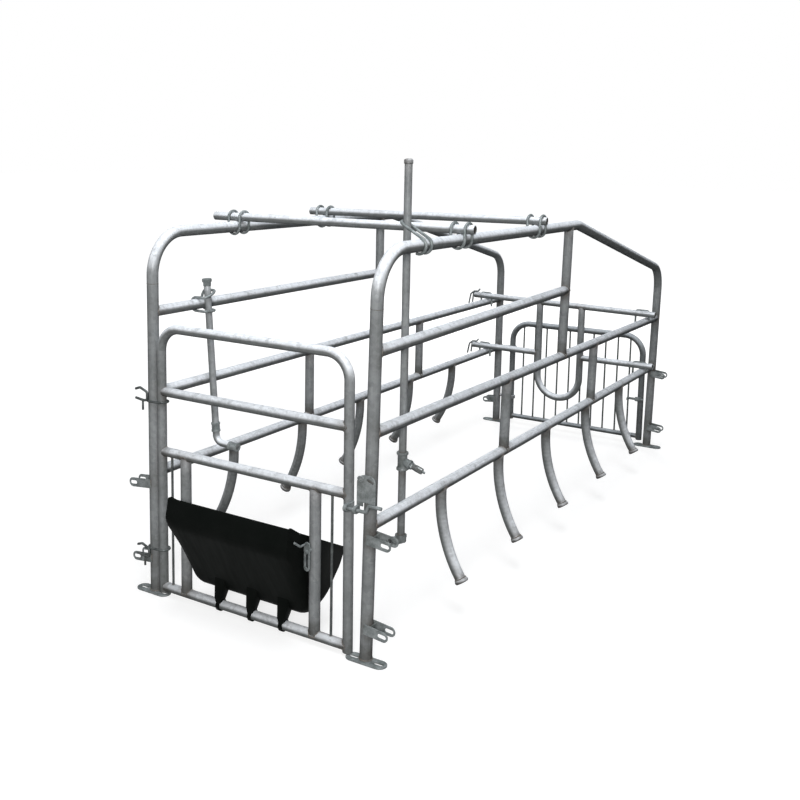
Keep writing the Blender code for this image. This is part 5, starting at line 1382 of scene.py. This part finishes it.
FLOOR_HALF = 30.0
FLOOR_Z = -0.0005
LAMP_TARGET = Vector((0.0, 0.0, 0.5))
COOL_LIGHT = (0.95, 0.975, 1.0)
WARM_LIGHT = (1.0, 0.985, 0.96)
LAMPS = {
    "overhead": {"place": (0.7, -1.2, 5.2), "size": (1.3, 4.2), "watts": 195.0, "colour": COOL_LIGHT},
    "front": {"place": (2.2, -4.6, 1.9), "size": (1.0, 1.0), "watts": 112.0, "colour": WARM_LIGHT},
    "rear": {"place": (-2.2, 4.6, 1.9), "size": (1.0, 1.0), "watts": 90.0, "colour": WARM_LIGHT},
}
CAMERA_PLACE = (1.6093, -2.0412, 1.2613)
CAMERA_YAW = 0.5829
CAMERA_PITCH = -0.1372
CAMERA_ROLL = 0.0123
FOCAL_PIXELS = 1033.10
PRINCIPAL = (341.0, 286.27)
PHOTO_PIXELS = 800.0
SENSOR = 36.0


def make_floor():
    """White to the camera, with the stall's soft shadow, and dark to the light that falls on it."""
    mesh = bpy.data.meshes.new("floor")
    corners = box_outline(FLOOR_HALF, FLOOR_HALF)
    mesh.from_pydata([(x, y, 0.0) for x, y in corners], [], [(0, 1, 2, 3)])
    floor = bpy.data.objects.new("floor", mesh)
    bpy.context.scene.collection.objects.link(floor)
    floor.location.z = FLOOR_Z
    shader = Shader(bpy.data.materials.new("pale_floor"))
    reach = shader.add("ShaderNodeVectorMath", {0: shader.coordinates()}, operation="LENGTH")
    strength = shader.ramp(reach.outputs["Value"], 1.0, 4.0, 0.77, 1.0)
    glow = shader.add("ShaderNodeEmission", {"Strength": strength})
    pale = shader.add("ShaderNodeBsdfDiffuse", {"Color": (0.32, 0.32, 0.32)})
    dark = shader.add("ShaderNodeBsdfDiffuse", {"Color": (0.05, 0.05, 0.05)})
    both = shader.add("ShaderNodeAddShader", {0: pale.outputs[0], 1: glow.outputs[0]})
    shader.seen_and_lit(both, dark)
    mesh.materials.append(shader.owner)


def make_world():
    """White to the camera, and a dim sky as light."""
    world = bpy.data.worlds.new("studio")
    bpy.context.scene.world = world
    shader = Shader(world, "ShaderNodeOutputWorld")
    height = shader.axes(shader.coordinates("Generated"))["Z"]
    sky = shader.mix(shader.ramp(height, 0.0, 0.9), (0.045, 0.047, 0.05), (0.14, 0.15, 0.16))
    white = shader.add("ShaderNodeBackground", {"Color": (1.0, 1.0, 1.0)})
    shader.seen_and_lit(white, shader.add("ShaderNodeBackground", {"Color": sky}))


def make_lamp(name, place, size, watts, colour):
    light = bpy.data.lights.new(name, "AREA")
    light.shape = "RECTANGLE"
    light.size, light.size_y = size
    light.energy = watts
    light.color = colour
    lamp = bpy.data.objects.new(name, light)
    bpy.context.scene.collection.objects.link(lamp)
    lamp.location = place
    lamp.rotation_euler = (LAMP_TARGET - Vector(place)).to_track_quat("-Z", "Y").to_euler()


def make_camera():
    """The photograph's own camera, fitted to the stall's measured lines."""
    flat = math.cos(CAMERA_PITCH)
    forward = Vector((-math.sin(CAMERA_YAW) * flat, math.cos(CAMERA_YAW) * flat, math.sin(CAMERA_PITCH)))
    level = Vector((math.cos(CAMERA_YAW), math.sin(CAMERA_YAW), 0.0))
    upright = level.cross(forward)
    right = level * math.cos(CAMERA_ROLL) + upright * math.sin(CAMERA_ROLL)
    up = upright * math.cos(CAMERA_ROLL) - level * math.sin(CAMERA_ROLL)
    data = bpy.data.cameras.new("camera")
    data.sensor_width = SENSOR
    data.lens = SENSOR * FOCAL_PIXELS / PHOTO_PIXELS
    data.shift_x = 0.5 - PRINCIPAL[0] / PHOTO_PIXELS
    data.shift_y = PRINCIPAL[1] / PHOTO_PIXELS - 0.5
    data.clip_end = 100.0
    camera = bpy.data.objects.new("camera", data)
    bpy.context.scene.collection.objects.link(camera)
    camera.location = Vector(CAMERA_PLACE) + SHIFT
    camera.rotation_euler = Matrix((right, up, -forward)).transposed().to_euler()
    bpy.context.scene.camera = camera


for panel in ("left", "right"):
    dress_panel(panel)
for lug_name, (panel, lug_y, lug_z, lug_reach) in LUGS.items():
    dress_lug(lug_name, panel, lug_y, lug_z, lug_reach)
dress_crossbars()
dress_gate()
dress_latch()
dress_trough()
dress_holder()
dress_rear_gate()
dress_restraint()
dress_right_drinker()
dress_drinker_loop()
dress_left_drinker()
make_pieces()
make_floor()
make_world()
for lamp_name, lamp_settings in LAMPS.items():
    make_lamp(lamp_name, **lamp_settings)
make_camera()
bpy.context.scene.view_settings.view_transform = "Standard"
